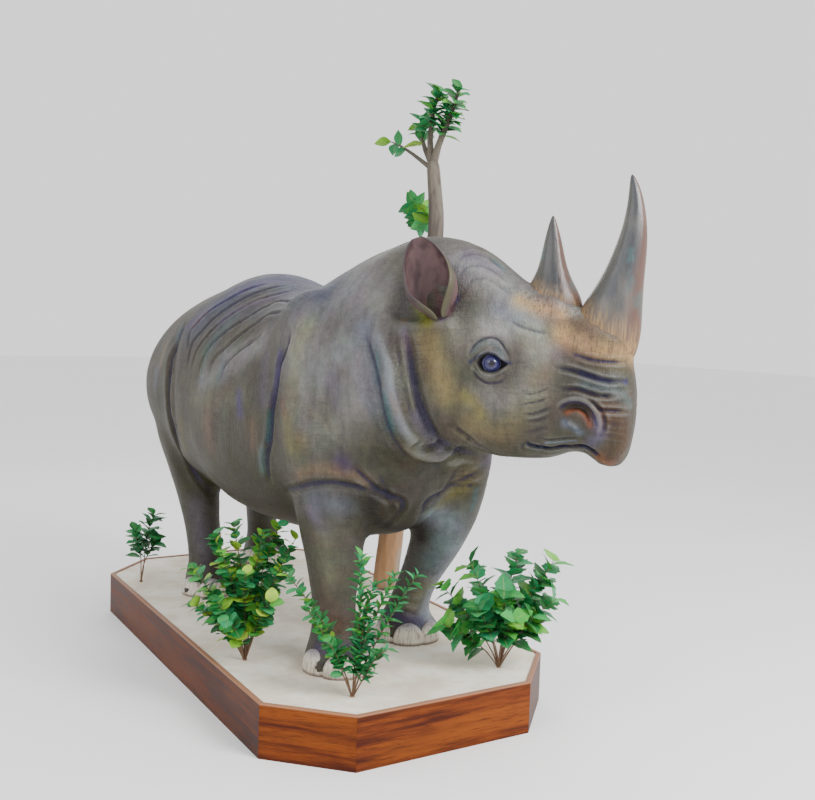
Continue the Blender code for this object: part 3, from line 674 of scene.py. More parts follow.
# %% Press the wrinkles of the back
BACK_WRINKLES = (
    ((189, 352), (190, 333), (200, 320), (214, 308), (231, 298), (249, 289), (268, 284)),
    ((187, 372), (192, 345), (203, 330), (217, 316), (234, 304), (251, 295), (268, 289), (286, 286)),
    ((192, 370), (197, 350), (207, 336), (220, 323), (237, 311), (255, 301), (274, 295), (294, 291)),
    ((198, 378), (204, 356), (214, 342), (228, 330), (247, 318), (266, 307), (285, 301), (305, 296)),
    ((208, 382), (213, 361), (225, 348), (240, 335), (257, 323), (274, 313), (292, 307)),
    ((219, 386), (224, 367), (235, 354), (250, 343), (264, 333)),
)
for reach in (0.030, 0.022):  # twice, and the second time nearer to the wrinkles
    surface = Surface(skin)
    divide(skin, near_any(surface, BACK_WRINKLES, reach))
surface = Surface(skin)
for spots in BACK_WRINKLES:
    press(surface, spots, 0.0078, 0.0095, lips=0.4, ends=0.25, shading=0.6)
surface.settle()
print("back wrinkles:", triangles(skin), "triangles")

# %% [markdown]
# ## The face
# The muzzle is crossed by deep wrinkles under the horn, finer ones fan over the cheek, and faint rings
# cross the forehead. A fold and a rolled rim stand round each nostril. All are drawn from the picture, then
# mirrored in the head's own axes, so both cheeks agree. The muzzle is divided first, because its wrinkles
# lie close together.

# %% Divide the muzzle, and press its wrinkles
MUZZLE_WRINKLES = (
    (((570, 352), (580, 356), (594, 360), (613, 362), (630, 362)), 0.007, 0.007),
    (((552, 367), (566, 369), (578, 372), (590, 376), (607, 381), (630, 382)), 0.011, 0.0075),
    (((556, 388), (566, 389), (578, 389), (593, 394), (605, 396), (632, 395)), 0.011, 0.0065),
    (((590, 401), (599, 409), (614, 411), (633, 411)), 0.010, 0.0065),
    (((604, 420), (613, 424), (628, 424)), 0.003, 0.006),
    (((598, 436), (610, 436), (626, 438)), 0.003, 0.006),
)
CHEEK_WRINKLES = (
    (((520, 393), (531, 394), (542, 391), (552, 386)), 0.004, 0.005),
    (((518, 405), (530, 403), (540, 401), (550, 397)), 0.005, 0.005),
    (((521, 414), (532, 414), (542, 411), (553, 407)), 0.005, 0.005),
    (((523, 422), (534, 421), (543, 419), (552, 415)), 0.004, 0.005),
    (((521, 433), (530, 432), (540, 429), (552, 427)), 0.003, 0.006),
)
FOREHEAD_WRINKLES = (
    (((452, 270), (462, 257), (478, 254), (494, 262), (508, 277)), 0.0030, 0.008),
    (((455, 283), (466, 268), (482, 266), (498, 274), (512, 289)), 0.0030, 0.008),
    (((461, 294), (472, 281), (487, 279), (502, 288), (514, 300)), 0.0025, 0.008),
    (((506, 318), (520, 326), (536, 331), (552, 334)), 0.0040, 0.010),
)
NOSTRIL = ((560, 413), (564, 409), (571, 407), (579, 407), (586, 411), (590, 418), (592, 427))
NOSTRIL_RIM = ((554, 412), (560, 403), (569, 399), (580, 399), (590, 404), (597, 414), (599, 427), (594, 435))
NOSTRIL_LOBE = ((566, 421), (572, 424), (579, 429))
NOSTRIL_FOLD = ((586, 399), (597, 406), (604, 418), (604, 429), (598, 439))
MOUTH = (
    (525, 441), (531, 445), (541, 447), (552, 448), (563, 446), (573, 446), (584, 446), (592, 450),
    (600, 457),
)
LIP_LINE = ((534, 436), (540, 438), (548, 440), (560, 439), (572, 438), (583, 439))
MOUTH_CORNER = ((525, 441), (522, 448), (527, 452))
MUZZLE_BACK, MUZZLE_TOP = 0.36, 1.34
AROUND_EYE = 0.135

surface = Surface(skin)
head_points = in_head(surface.points)
muzzle = (head_points[:, 0] > MUZZLE_BACK) & (head_points[:, 2] < MUZZLE_TOP)
around_eyes = np.zeros(len(head_points), dtype=bool)
for centre in EYE.values():
    around_eyes |= np.linalg.norm(head_points - centre, axis=1) < AROUND_EYE
cheek = near_any(surface, [w[0] for w in CHEEK_WRINKLES + FOREHEAD_WRINKLES], 0.022, "head")
divide(skin, muzzle | around_eyes | cheek | near_any(surface, (JAW[0],), 0.025, "head"))

surface = Surface(skin)
for spots, depth, reach in (*MUZZLE_WRINKLES, *CHEEK_WRINKLES, *FOREHEAD_WRINKLES):
    press(surface, spots, depth, reach, lips=0.45, mirror="head", ends=0.25)
press(surface, NOSTRIL_FOLD, 0.006, 0.006, mirror="head", ends=0.3)
press(surface, NOSTRIL_RIM, -0.006, 0.0085, lips=0.0, mirror="head", ends=0.3)
press(surface, NOSTRIL_LOBE, -0.006, 0.011, lips=0.0, mirror="head", ends=0.3)
surface.settle()
print("muzzle:", triangles(skin), "triangles")

# %% [markdown]
# ## Nostrils and mouth
# The nostril is a comma-shaped pit, and the mouth a long slit with a folded corner under an overhanging
# upper lip. They are the deepest and narrowest lines of the face, so the skin is divided once more along
# them before they are pressed.

# %% Open the nostrils and the mouth
surface = Surface(skin)
divide(skin, near_any(surface, (NOSTRIL, MOUTH, LIP_LINE), 0.020, "head"))
surface = Surface(skin)
press(surface, NOSTRIL, 0.026, 0.0115, lips=0.10, mirror="head", ends=0.35, shading=0.15)
press(surface, MOUTH, 0.016, 0.0058, lips=0.25, mirror="head", ends=0.12)
press(surface, LIP_LINE, 0.004, 0.0045, lips=0.5, mirror="head", ends=0.25)
press(surface, MOUTH_CORNER, 0.006, 0.005, mirror="head", ends=0.3)
surface.settle()
relax(skin.data, 1)
print("nostrils and mouth:", triangles(skin), "triangles")

# %% [markdown]
# ## The eye's plane
# The lids are drawn in the eye's own plane, as metres forward and up from the ball's middle. Three
# functions lay points into that plane, and say how far they are from a line in it and whether an outline
# encloses them.

# %% Measure in the eye's plane


def in_plane(points, rows):
    """How far points of the eye's plane are from a path in it."""
    path = smooth_path([(*row, 0) for row in rows], 0.002)
    return distance_to(np.column_stack([points, np.zeros(len(points))]), path, 0.06)


def inside(points, outline):
    """Which points lie inside a closed outline: a ray to one side crosses it an odd number of times."""
    crossed = np.zeros(len(points), dtype=bool)
    for (x0, y0), (x1, y1) in zip(outline, outline[1:]):
        spans = (points[:, 1] < y0) != (points[:, 1] < y1)
        if y1 != y0:
            crossed ^= spans & (points[:, 0] < x0 + (x1 - x0) * (points[:, 1] - y0) / (y1 - y0))
    return crossed


def eye_plane(points, side):
    """Points as forward and up from an eye's middle, and which of them are on that side of the head."""
    local = in_head(points) - np.array(EYE[side])
    outward = local[:, 1] * (-1 if side == "right" else 1)
    flat = local[:, [0, 2]]
    return flat, (outward > -0.05) & (np.linalg.norm(flat, axis=1) < 0.12)

# %% [markdown]
# ## The eyes
# The glass ball sits deep in the hide. Around it the lids form an almond that runs out to a point in front,
# with a rolled rim, and a second crease circles them like a tear-drop. The opening is pushed in behind the
# ball, and the lids are raised round it.

# %% Open the eyelids
OPENING = (
    (-0.050, 0.000), (-0.038, 0.022), (-0.011, 0.036), (0.015, 0.032), (0.038, 0.016), (0.062, 0.000),
    (0.044, -0.016), (0.023, -0.029), (0.000, -0.034), (-0.026, -0.027), (-0.043, -0.013), (-0.050, 0.000),
)
UPPER_LID = (
    (-0.048, 0.006), (-0.038, 0.027), (-0.011, 0.042), (0.017, 0.038), (0.042, 0.020), (0.068, 0.005),
)
LOWER_LID = (
    (-0.047, -0.008), (-0.028, -0.034), (0.000, -0.042), (0.025, -0.037), (0.050, -0.021), (0.068, -0.005),
)
UPPER_CREASE = (
    (-0.074, 0.014), (-0.070, 0.036), (-0.056, 0.060), (-0.034, 0.078), (-0.002, 0.088), (0.026, 0.078),
    (0.048, 0.050), (0.066, 0.020),
)
LOWER_CREASE = (
    (-0.060, -0.016), (-0.048, -0.040), (-0.027, -0.059), (0.002, -0.069), (0.035, -0.062), (0.061, -0.042),
)
LID_LINES = (  # path, depth or rise, reach
    (UPPER_LID, -0.0085, 0.0065), (LOWER_LID, -0.0065, 0.0060),
    (UPPER_CREASE, 0.0070, 0.0055), (LOWER_CREASE, 0.0065, 0.0055),
)
OPENING_DEPTH = 0.030

surface = Surface(skin)
close = np.zeros(len(surface.points), dtype=bool)
for side in EYE:
    flat, there = eye_plane(surface.points, side)
    close |= there & (np.hypot(flat[:, 0] / 0.082, (flat[:, 1] - 0.008) / 0.088) < 1)
divide(skin, close)

points, wash = read(skin.data), read_fold_shading(skin.data)
for side, outward in SIDES.items():
    flat, there = eye_plane(points, side)
    rise = np.zeros(len(points))
    for rows, depth, reach in LID_LINES:
        away, along = in_plane(flat, rows)
        line = np.exp(-((away / reach) ** 2)) * tapered(along, 0.2)
        rise -= depth * line
        # painted shade in the lid creases, painted highlight on the raised lid rims
        wash += there * line * (0.7 if depth > 0 else -0.4)
    edge, _ = in_plane(flat, OPENING)
    within = np.where(inside(flat, OPENING), edge, 0)
    rise -= OPENING_DEPTH * (1 - fade(within, 0.0, 0.010))
    # painted shade: a dark ring just inside the opening, where the lids shade the ball
    wash += 0.6 * there * (1 - fade(within, 0.0, 0.006))
    points += (rise * there)[:, None] * np.array(outward)
write(skin.data, points)
mark(skin.data, "wash", wash)
print("eyelids:", triangles(skin), "triangles")

# %% [markdown]
# ## Standing on the deck
# The smoothing has let the soles sag by a millimetre or two. Everything below the deck's top is brought
# level with it, so that the feet are flat where they stand.

# %% Level the soles
SOLE_EDGE = 0.020
points = read(skin.data)
low = points[:, 2] < GROUND + SOLE_EDGE
share = np.clip((points[low, 2] - GROUND) / SOLE_EDGE, 0, 1)
points[low, 2] = GROUND + SOLE_EDGE * share**2
write(skin.data, points)
take(skin)
bpy.ops.object.shade_smooth()
print("levelled", int(low.sum()), "points")

# %% [markdown]
# ## The horns
# A rhinoceros horn is packed fibre: smooth and dark above, frayed and ochre at its foot. Each is drawn out
# of a circle: the ring is extruded from row to row, moved along the head and scaled, as a potter draws a
# wall, and a subdivision rounds the result. Fine upright ridges are then pressed into the foot, where the
# fibres show.

# %% Draw out the horns
FRONT_HORN = (  # forward, height, half length along the head, half width
    (0.512, 1.225, 0.116, 0.090), (0.520, 1.290, 0.133, 0.107), (0.536, 1.350, 0.126, 0.104),
    (0.550, 1.400, 0.113, 0.096), (0.565, 1.450, 0.097, 0.085), (0.592, 1.535, 0.071, 0.065),
    (0.612, 1.620, 0.056, 0.053), (0.624, 1.700, 0.042, 0.041), (0.624, 1.785, 0.028, 0.028),
    (0.614, 1.848, 0.016, 0.016), (0.605, 1.880, 0.004, 0.004),
)
REAR_HORN = (
    (0.345, 1.360, 0.100, 0.072), (0.345, 1.420, 0.118, 0.087), (0.346, 1.472, 0.101, 0.079),
    (0.346, 1.515, 0.073, 0.059), (0.345, 1.570, 0.048, 0.043), (0.343, 1.632, 0.036, 0.033),
    (0.340, 1.700, 0.020, 0.018), (0.338, 1.746, 0.004, 0.004),
)


def draw_out(name, rows, sides):
    """A closed limb drawn out of a circle, with level rings. Each row is a centre and two half sizes."""
    bpy.ops.object.select_all(action="DESELECT")
    centre, half_x, half_y = rows[0]
    bpy.ops.mesh.primitive_circle_add(vertices=sides, radius=1, fill_type="NGON", location=(0, 0, 0))
    piece = bpy.context.object
    piece.name = name
    bpy.ops.object.mode_set(mode="EDIT")
    bpy.ops.transform.resize(value=(half_x, half_y, 1), center_override=(0, 0, 0))
    bpy.ops.transform.translate(value=centre)
    for (before, was_x, was_y), (after, half_x, half_y) in zip(rows, rows[1:]):
        step = Vector(after) - Vector(before)
        bpy.ops.mesh.extrude_region_move(TRANSFORM_OT_translate={"value": step})
        bpy.ops.transform.resize(value=(half_x / was_x, half_y / was_y, 1), center_override=after)
    bpy.ops.mesh.select_all(action="SELECT")
    bpy.ops.mesh.normals_make_consistent(inside=False)
    bpy.ops.object.mode_set(mode="OBJECT")
    return piece


def round_off(piece, levels):
    rounding = piece.modifiers.new("rounded", "SUBSURF")
    rounding.levels = rounding.render_levels = levels
    apply_modifiers(piece)
    bpy.ops.object.shade_smooth()


def make_horn(name, rows, frayed_below):
    horn = draw_out(name, [((forward, 0, height), long, wide) for forward, height, long, wide in rows], 24)
    round_off(horn, 2)
    points = read(horn.data)
    middle = np.interp(points[:, 2], [row[1] for row in rows], [row[0] for row in rows])
    turn = np.arctan2(points[:, 1], points[:, 0] - middle)
    slope = points[:, 2] + 0.45 * (points[:, 0] - middle)
    foot = np.clip((frayed_below - slope) / 0.14, 0, 1)
    ridges = np.sin(turn * 23 + 2.5 * np.sin(turn * 5)) * 0.0014 * foot + np.sin(turn * 9 + 1) * 0.0005
    out = np.column_stack([np.cos(turn), np.sin(turn), 0 * turn])
    write(horn.data, points + ridges[:, None] * out * np.clip((rows[-1][1] - points[:, 2:3]) / 0.2, 0, 1))
    mark(horn.data, "frayed", foot)
    mark(horn.data, "front", 0.5 + 0.5 * np.cos(turn))
    horn.data.transform(HEAD)
    return finished(horn, "hide")


front_horn = make_horn("front_horn", FRONT_HORN, 1.47)
rear_horn = make_horn("rear_horn", REAR_HORN, 1.55)

# %% [markdown]
# ## The ears
# Each ear is a thin cupped leaf of skin. A flat grid gives the right pattern of squares: its rows run up
# the ear and its columns across, and each row is wrapped into an arc whose width, depth and wrap follow the
# ear from root to tip. No bend by hand would give that form, so the points are laid by a function, and then
# the sheet gets its thickness.

# %% Curl the ears
EAR_ROWS = (  # share of the length, half width, depth, and how far the edges wrap, in degrees
    (-0.05, 0.030, 0.032, 165), (0.04, 0.047, 0.048, 166), (0.18, 0.080, 0.062, 152),
    (0.38, 0.093, 0.066, 126), (0.60, 0.084, 0.056, 106), (0.80, 0.066, 0.040, 92),
    (0.93, 0.043, 0.024, 78), (1.00, 0.017, 0.012, 68),
)
EARS = {
    "right": (on_head(0.004, -0.186, 1.388), on_head(-0.076, -0.240, 1.650), 0.18 * FORWARD - 1.0 * LEFT),
    "left": (on_head(0.012, 0.186, 1.388), on_head(-0.095, 0.240, 1.645), 0.20 * FORWARD + 1.0 * LEFT),
}
EAR_WALL = 0.007
EAR_GREY = (0.034, 0.031, 0.034)
EAR_LIME = (0.056, 0.056, 0.009)


def make_ear(side):
    base, tip, opens = EARS[side]
    axis = (tip - base).normalized()
    opens = (opens - opens.dot(axis) * axis).normalized()
    sideways = axis.cross(opens)
    bpy.ops.object.select_all(action="DESELECT")
    bpy.ops.mesh.primitive_grid_add(x_subdivisions=20, y_subdivisions=24, size=2)
    ear = bpy.context.object
    ear.name = side + "_ear"
    rows = smooth_path([row[:3] for row in EAR_ROWS], 0.02)
    grid = read(ear.data)
    share = np.interp(grid[:, 1], (-1, 1), (EAR_ROWS[0][0], 1.0))
    half, deep = (np.interp(share, rows[:, 0], rows[:, k]) for k in (1, 2))
    wrap = np.radians(np.interp(share, [row[0] for row in EAR_ROWS], [row[3] for row in EAR_ROWS]))
    turn = wrap * grid[:, 0]
    ripple = 0.006 * np.sin(share * 13) * grid[:, 0] ** 2
    along = np.array(base) + share[:, None] * np.array(tip - base)
    points = along + (half * np.sin(turn))[:, None] * np.array(sideways)
    points -= (deep * np.cos(turn) + ripple)[:, None] * np.array(opens)
    write(ear.data, points)
    front = grid[:, 0] if side == "right" else -grid[:, 0]
    strip = fade(1 - front, 0.05, 0.26) * fade(share, 0.50, 0.78)
    strip = np.maximum(strip, fade(1 + front, 0.06, 0.28) * fade(share, 0.12, 0.30))
    mark(ear.data, "paint", np.array(EAR_GREY) + strip[:, None] * (np.array(EAR_LIME) - np.array(EAR_GREY)))
    mark(ear.data, "strip", strip)
    mark(ear.data, "rim", fade(1 - np.abs(front), 0.05, 0.35))
    wall = ear.modifiers.new("wall", "SOLIDIFY")
    wall.thickness = EAR_WALL
    wall.offset = 1
    wall.material_offset = 1
    apply_modifiers(ear)
    round_off(ear, 1)
    return finished(ear, "hide")


ears = [make_ear(side) for side in EARS]

# %% [markdown]
# ## The nails
# Each foot ends in three broad cream nails like half shells. One is made from a ball: its back is cut off
# by a bisect, its sole is cut level, and upright ridges are pressed in. The other eleven are copies, turned
# round their feet.

# %% Model one nail and set twelve
FOOT_SIZES = {  # where each foot stands, its half width and half depth, and how far it is turned
    "right_fore": (-0.202, -0.738, 0.122, 0.136, -27), "left_fore": (0.243, -0.515, 0.120, 0.132, -28),
    "right_hind": (-0.280, 0.500, 0.114, 0.124, -15), "left_hind": (0.226, 0.995, 0.114, 0.124, -5),
}
NAIL_HALF = (0.064, 0.034, 0.076)
NAIL_MIDDLE = GROUND + 0.0143
TOE_ANGLES = (-53, 0, 53)


def model_nail():
    bpy.ops.object.select_all(action="DESELECT")
    bpy.ops.mesh.primitive_uv_sphere_add(segments=40, ring_count=24, radius=1)
    nail = bpy.context.object
    bpy.ops.object.mode_set(mode="EDIT")
    bpy.ops.mesh.select_all(action="SELECT")
    bpy.ops.mesh.bisect(plane_co=(0, 0.35, 0), plane_no=(0, 1, 0), clear_outer=True, use_fill=True)
    bpy.ops.mesh.select_all(action="SELECT")
    bpy.ops.mesh.bisect(plane_co=(0, 0, -0.22), plane_no=(0, 0, 1), clear_inner=True, use_fill=True)
    bpy.ops.object.mode_set(mode="OBJECT")
    points = read(nail.data)
    front = np.clip(-points[:, 1], 0, 1)
    points[:, 1] += 0.045 * front * np.sin(points[:, 0] * 16) * (0.4 + 0.6 * (points[:, 2] < 0.6))
    points[:, 1] += 0.05 * front * np.exp(-(((points[:, 2] - 0.25) / 0.05) ** 2))
    points[:, 0] *= 1 + 0.10 * np.clip(points[:, 2], 0, 1) * (1 - np.clip(points[:, 2], 0, 1))
    write(nail.data, points * NAIL_HALF)
    bpy.ops.object.shade_smooth_by_angle(angle=math.radians(50))
    return nail


first_nail = model_nail()
nails = []
for foot, (x, y, half, deep, way) in FOOT_SIZES.items():
    toes = []
    for angle in TOE_ANGLES:
        turn = math.radians(angle + way)
        ahead = y - 0.98 * deep * math.cos(turn) - 0.012
        place = Vector((x + 0.93 * half * math.sin(turn), ahead, NAIL_MIDDLE))
        toe = first_nail.copy()
        toe.data = first_nail.data.copy()
        toe.data.transform(Matrix.Translation(place) @ Matrix.Rotation(turn, 4, "Z"))
        bpy.context.scene.collection.objects.link(toe)
        toes.append(toe)
    nails.append(finished(bundle(foot + "_nails", toes), "hide"))
bpy.data.objects.remove(first_nail)

# %% [markdown]
# ## The glass eyes
# Each eye is a polished ball with a slight bulge in front, where a real eye has its cornea. It takes the
# solid ball's place exactly.

# %% Blow the glass eyes
eyes = []
for side, outward in SIDES.items():
    bpy.ops.object.select_all(action="DESELECT")
    bpy.ops.mesh.primitive_uv_sphere_add(segments=48, ring_count=32, radius=EYE_RADIUS)
    eye = bpy.context.object
    eye.name = side + "_eye"
    looks = (outward + 0.35 * FORWARD).normalized()
    points = read(eye.data)
    ahead = np.clip(points @ np.array(looks) / EYE_RADIUS, 0, 1)
    points += (0.0016 * fade(1 - ahead, 0.0, 0.22))[:, None] * np.array(looks)
    write(eye.data, points + np.array(HEAD @ EYE[side]))
    mark(eye.data, "ahead", ahead)
    bpy.ops.object.shade_smooth()
    eyes.append(finished(eye, "eye", "eye_" + side))

# %% [markdown]
# ## Cloth leaves
# The plants are the kind sold for displays: dyed cloth leaves with a moulded rib, on wire stems. A number
# kept on each leaf chooses its green on a ramp, and its UV map places the pale rib and the side veins. The
# stems carry a number below zero, so one finish serves a whole plant.

# %% Dye the cloth


def leaf_finish():
    """Dyed cloth: the tint gives the green, the UV map the pale rib and side veins."""
    leaf = Finish("leaf cloth", 0.42)
    tint = leaf.attribute("tint")
    greens = (
        (0.00, (0.010, 0.100, 0.030)), (0.30, (0.014, 0.215, 0.045)), (0.52, (0.028, 0.310, 0.130)),
        (0.68, (0.055, 0.390, 0.060)), (0.84, (0.210, 0.500, 0.035)), (1.00, (0.460, 0.600, 0.060)),
    )
    green = leaf.node("ValToRGB", {"stops": greens}, {"Fac": tint})
    parts = leaf.node("SeparateXYZ", {}, {0: leaf.node("UVMap")})
    up_leaf = leaf.node("SeparateXYZ", {}, {0: leaf.node("UVMap")}, out=1)
    off_rib = (parts - 0.5).size()
    rib = 1 - off_rib.between(0.0, 0.055)
    veins = ((up_leaf * 44) - (off_rib * 50)).sine().between(0.55, 1.0)
    pale = leaf.mix(rib * 0.55 + veins * 0.16, green, (0.300, 0.400, 0.120))
    blotch = leaf.noise(leaf.place(), 45, 3).between(0.40, 0.66)
    shaded = leaf.mix(blotch * 0.4, pale, (0.50, 0.66, 0.70), "MULTIPLY")
    stem = leaf.mix(leaf.noise(leaf.place(), 90, 3), (0.150, 0.075, 0.045), (0.260, 0.165, 0.110))
    colour = leaf.mix((0 - tint).between(0.4, 0.6), shaded, stem)
    leaf.shader.inputs["Specular IOR Level"].default_value = 0.3
    return leaf.done(colour, blotch * 0.2 + 0.40, leaf.bump(veins + rib, 0.0006))


leaf_look = leaf_finish()
print("cloth:", len(leaf_look.node_tree.nodes), "nodes")

# %% [markdown]
# ## One leaf of each kind
# A leaf is made from a grid of a few squares. Its columns are drawn in to the leaf's outline, its rib is
# sunk and its tip droops, and the grid keeps its own UV map. Copies are cheap, because each has only a few
# dozen faces.

# %% Cut the leaves
LEAVES = {  # width at each step from the stalk to the tip, how deep the rib lies, how far the tip droops
    "round": ((0.12, 0.74, 0.97, 1.00, 0.92, 0.68, 0.16), 0.14, 0.16),
    "narrow": ((0.10, 0.75, 1.00, 0.92, 0.70, 0.38, 0.03), 0.25, 0.10),
    "ivy": ((0.10, 0.98, 0.86, 1.00, 0.62, 0.40, 0.03), 0.14, 0.22),
    "oval": ((0.05, 0.55, 0.90, 1.00, 0.84, 0.48, 0.03), 0.18, 0.20),
}


def cut_leaf(kind):
    widths, rib, droop = LEAVES[kind]
    bpy.ops.object.select_all(action="DESELECT")
    bpy.ops.mesh.primitive_grid_add(x_subdivisions=4, y_subdivisions=len(widths) - 1, size=1)
    leaf = bpy.context.object
    leaf.name = kind + "_leaf"
    grid = read(leaf.data)
    along = grid[:, 1] + 0.5
    out = grid[:, 0] * np.interp(along, np.linspace(0, 1, len(widths)), widths)
    scallop = 0.05 * np.sin(along * 19) * (np.abs(grid[:, 0]) > 0.4)
    twist = 0.03 * np.sin(along * 12) * np.sign(grid[:, 0]) * np.abs(out)
    rise = rib * np.abs(out) - droop * along**2 + twist
    write(leaf.data, np.column_stack([out * (1 + scallop), along, rise]))
    bpy.ops.object.shade_smooth()
    leaf.data.attributes.new("tint", "FLOAT", "POINT")
    leaf.data.materials.append(leaf_look)
    return leaf


patterns = {kind: cut_leaf(kind) for kind in LEAVES}
print("patterns:", ", ".join(patterns))

# %% [markdown]
# ## Hanging a leaf
# Each leaf is a copy of its pattern, turned so that it grows out along one direction and shows its upper
# side towards another. A leaf whose tip would touch the animal or lie inside it isn't hung.

# %% Hang a leaf
LEAF_CLEARANCE = 0.02
hide_surface = BVHTree.FromObject(skin, bpy.context.evaluated_depsgraph_get())


def hang_leaf(kind, base, way, over, length, width, tint):
    """A copy of a leaf that grows from base along way, with its upper side towards over."""
    way = way.normalized()
    sideways = way.cross(over).normalized()
    tip = base + way * length * 0.9
    place, normal, _, away = hide_surface.find_nearest(tip)
    if away < LEAF_CLEARANCE or (tip - place).dot(normal) < 0:
        return []
    leaf = bpy.data.objects.new(kind, patterns[kind].data.copy())
    turn = Matrix((sideways, way, sideways.cross(way))).transposed().to_4x4()
    leaf.data.transform(Matrix.Translation(base) @ turn @ Matrix.Diagonal((width, length, length, 1)))
    mark(leaf.data, "tint", np.full(len(leaf.data.vertices), tint))
    bpy.context.scene.collection.objects.link(leaf)
    return [leaf]

# %% [markdown]
# ## Stems, and leaves up a stem
# A stem is a thin limb drawn out of a six-sided ring that is tilted to face along it. Leaves leave it in
# turn, each 137.5 degrees on from the last, as real shoots do, so that none hides the next. A seeded chance
# varies their tilt, size and green, and always in the same way.

# %% Grow a shoot
GOLDEN_TURN = math.radians(137.5)
BARE_WOOD = -1.0  # the tint of a stem
chance = random.Random(7)


def draw_stem(name, path, thick, thin, look, sides=6):
    """A limb along a path: it is drawn out upright, and then each ring is set square to the path."""
    count = len(path)
    radii = [thick + (thin - thick) * i / (count - 1) for i in range(count)]
    stem = draw_out(name, [((0, 0, float(i)), radius, radius) for i, radius in enumerate(radii)], sides)
    points = read(stem.data)
    rows = np.rint(points[:, 2]).astype(int)
    for i, centre in enumerate(path):
        run = (path[min(i + 1, count - 1)] - path[max(i - 1, 0)]).normalized()
        side = run.cross(Vector((0.31, 0.92, 0.22))).normalized()
        axes = np.array((side, run.cross(side)))
        ring = rows == i
        points[ring] = points[ring, :2] @ axes + np.array(centre)
    write(stem.data, points)
    mark(stem.data, "tint", np.full(len(points), BARE_WOOD))
    stem.data.materials.append(look)
    take(stem)
    bpy.ops.object.mode_set(mode="EDIT")
    bpy.ops.mesh.select_all(action="SELECT")
    bpy.ops.mesh.normals_make_consistent(inside=False)
    bpy.ops.object.mode_set(mode="OBJECT")
    bpy.ops.object.shade_smooth()
    return stem


def leaves_up(path, kind, count, length, width, bare, greens, rise=35, pairs=False):
    """Leaves up a shoot, from where it is no longer bare to its end."""
    leaves = []
    for i in range(count):
        share = bare + (1 - bare) * (i + 1) / count
        place = share * (len(path) - 1)
        low = min(int(place), len(path) - 2)
        base = path[low].lerp(path[low + 1], min(place - low, 1.0))
        run = (path[low + 1] - path[low]).normalized()
        side = run.cross(Vector((0.1, 1, 0.2))).normalized()
        turn = (math.pi * i + math.pi / 2 * (i // 2 % 2)) if pairs else i * GOLDEN_TURN
        out = Matrix.Rotation(turn + chance.uniform(-0.4, 0.4), 3, run) @ side
        lift = math.radians(rise + chance.uniform(-18, 18))
        way = math.cos(lift) * out + math.sin(lift) * run
        tilt = Vector((chance.uniform(-1, 1), chance.uniform(-1, 1), 0))
        over = (run + 0.35 * UP + 0.3 * tilt).normalized()
        size = chance.uniform(0.75, 1.15) * (1 - 0.2 * share)
        leaves += hang_leaf(kind, base, way, over, length * size, width * size, chance.uniform(*greens))
    return leaves

# %% [markdown]
# ## The four plants
# The bush by the shoulder has many small round leaves. The one in front has shoots with round leaves and
# others with narrow ones like rosemary, the one on the left has broad leaves like ivy, and the back corner
# has a small sprig. Shoots are given as they are seen: across the plinth's front right corner, up, and out
# from it.

# %% List the shoots
PLANTS = {  # foot, then shoots: across, up, out, kind, leaves, length, width, bare share, greens
    "plant_back_corner": ((-0.530, 0.780), (
        (-0.03, 0.27, 0.02, "oval", 16, 0.088, 0.064, 0.42, (0.0, 0.5)),
        (0.06, 0.35, 0.00, "oval", 24, 0.090, 0.066, 0.40, (0.0, 0.5)),
        (0.08, 0.24, 0.03, "oval", 14, 0.085, 0.060, 0.45, (0.0, 0.4)),
    )),
    "plant_shoulder": ((-0.500, -0.530), tuple(
        (across, height, out, "round", count + 4, 0.066, 0.062, 0.34, (0.0, 1.0))
        for across, height, out, count in (
            (-0.21, 0.24, 0.03, 22), (-0.20, 0.38, 0.05, 26), (-0.13, 0.50, 0.00, 30),
            (-0.06, 0.55, -0.02, 32), (0.01, 0.38, 0.09, 26), (0.06, 0.52, 0.00, 30),
            (0.15, 0.42, 0.06, 26), (0.11, 0.27, 0.10, 20),
            (-0.10, 0.27, 0.10, 20), (-0.05, 0.20, 0.12, 16), (0.19, 0.50, 0.02, 28), (0.12, 0.54, -0.03, 30),
            (-0.09, 0.44, 0.05, 26),
        )
    )),
    "plant_front": ((-0.300, -1.060), (
        (-0.25, 0.45, 0.00, "round", 36, 0.056, 0.050, 0.20, (0.1, 0.9)),
        (-0.17, 0.34, 0.04, "round", 26, 0.052, 0.046, 0.30, (0.1, 0.9)),
        (-0.09, 0.22, 0.05, "round", 16, 0.048, 0.042, 0.35, (0.1, 0.7)),
        (0.02, 0.52, 0.01, "narrow", 60, 0.064, 0.025, 0.14, (0.2, 0.75)),
        (0.07, 0.42, 0.02, "narrow", 46, 0.062, 0.024, 0.16, (0.2, 0.75)),
        (0.14, 0.46, 0.03, "narrow", 50, 0.062, 0.024, 0.16, (0.2, 0.75)),
        (0.22, 0.46, 0.00, "narrow", 56, 0.060, 0.023, 0.14, (0.2, 0.70)),
        (0.12, 0.20, 0.05, "narrow", 22, 0.054, 0.021, 0.25, (0.1, 0.6)),
    )),
    "plant_left": ((0.370, -1.040), tuple(
        (across, height, out, "ivy", count + 6, 0.100, 0.092, 0.38, (0.1, 0.8))
        for across, height, out, count in (
            (-0.23, 0.19, 0.06, 9), (-0.24, 0.33, 0.00, 11), (-0.13, 0.43, 0.03, 12), (0.00, 0.34, 0.09, 11),
            (0.06, 0.46, -0.02, 12), (0.15, 0.38, 0.03, 11), (0.12, 0.24, 0.08, 9), (-0.10, 0.28, 0.10, 9),
            (0.04, 0.24, 0.12, 8), (0.20, 0.44, 0.00, 10), (0.21, 0.30, 0.04, 9),
        )
    )),
}
print("shoots:", {name: len(shoots) for name, (_, shoots) in PLANTS.items()})

# %% [markdown]
# ## Growing a plant
# Each plant stands where the solid one does, on its peg. Its shoots leave the foot together and spread as
# they rise, each with a slight wave of its own. Stems and leaves are joined into one piece.

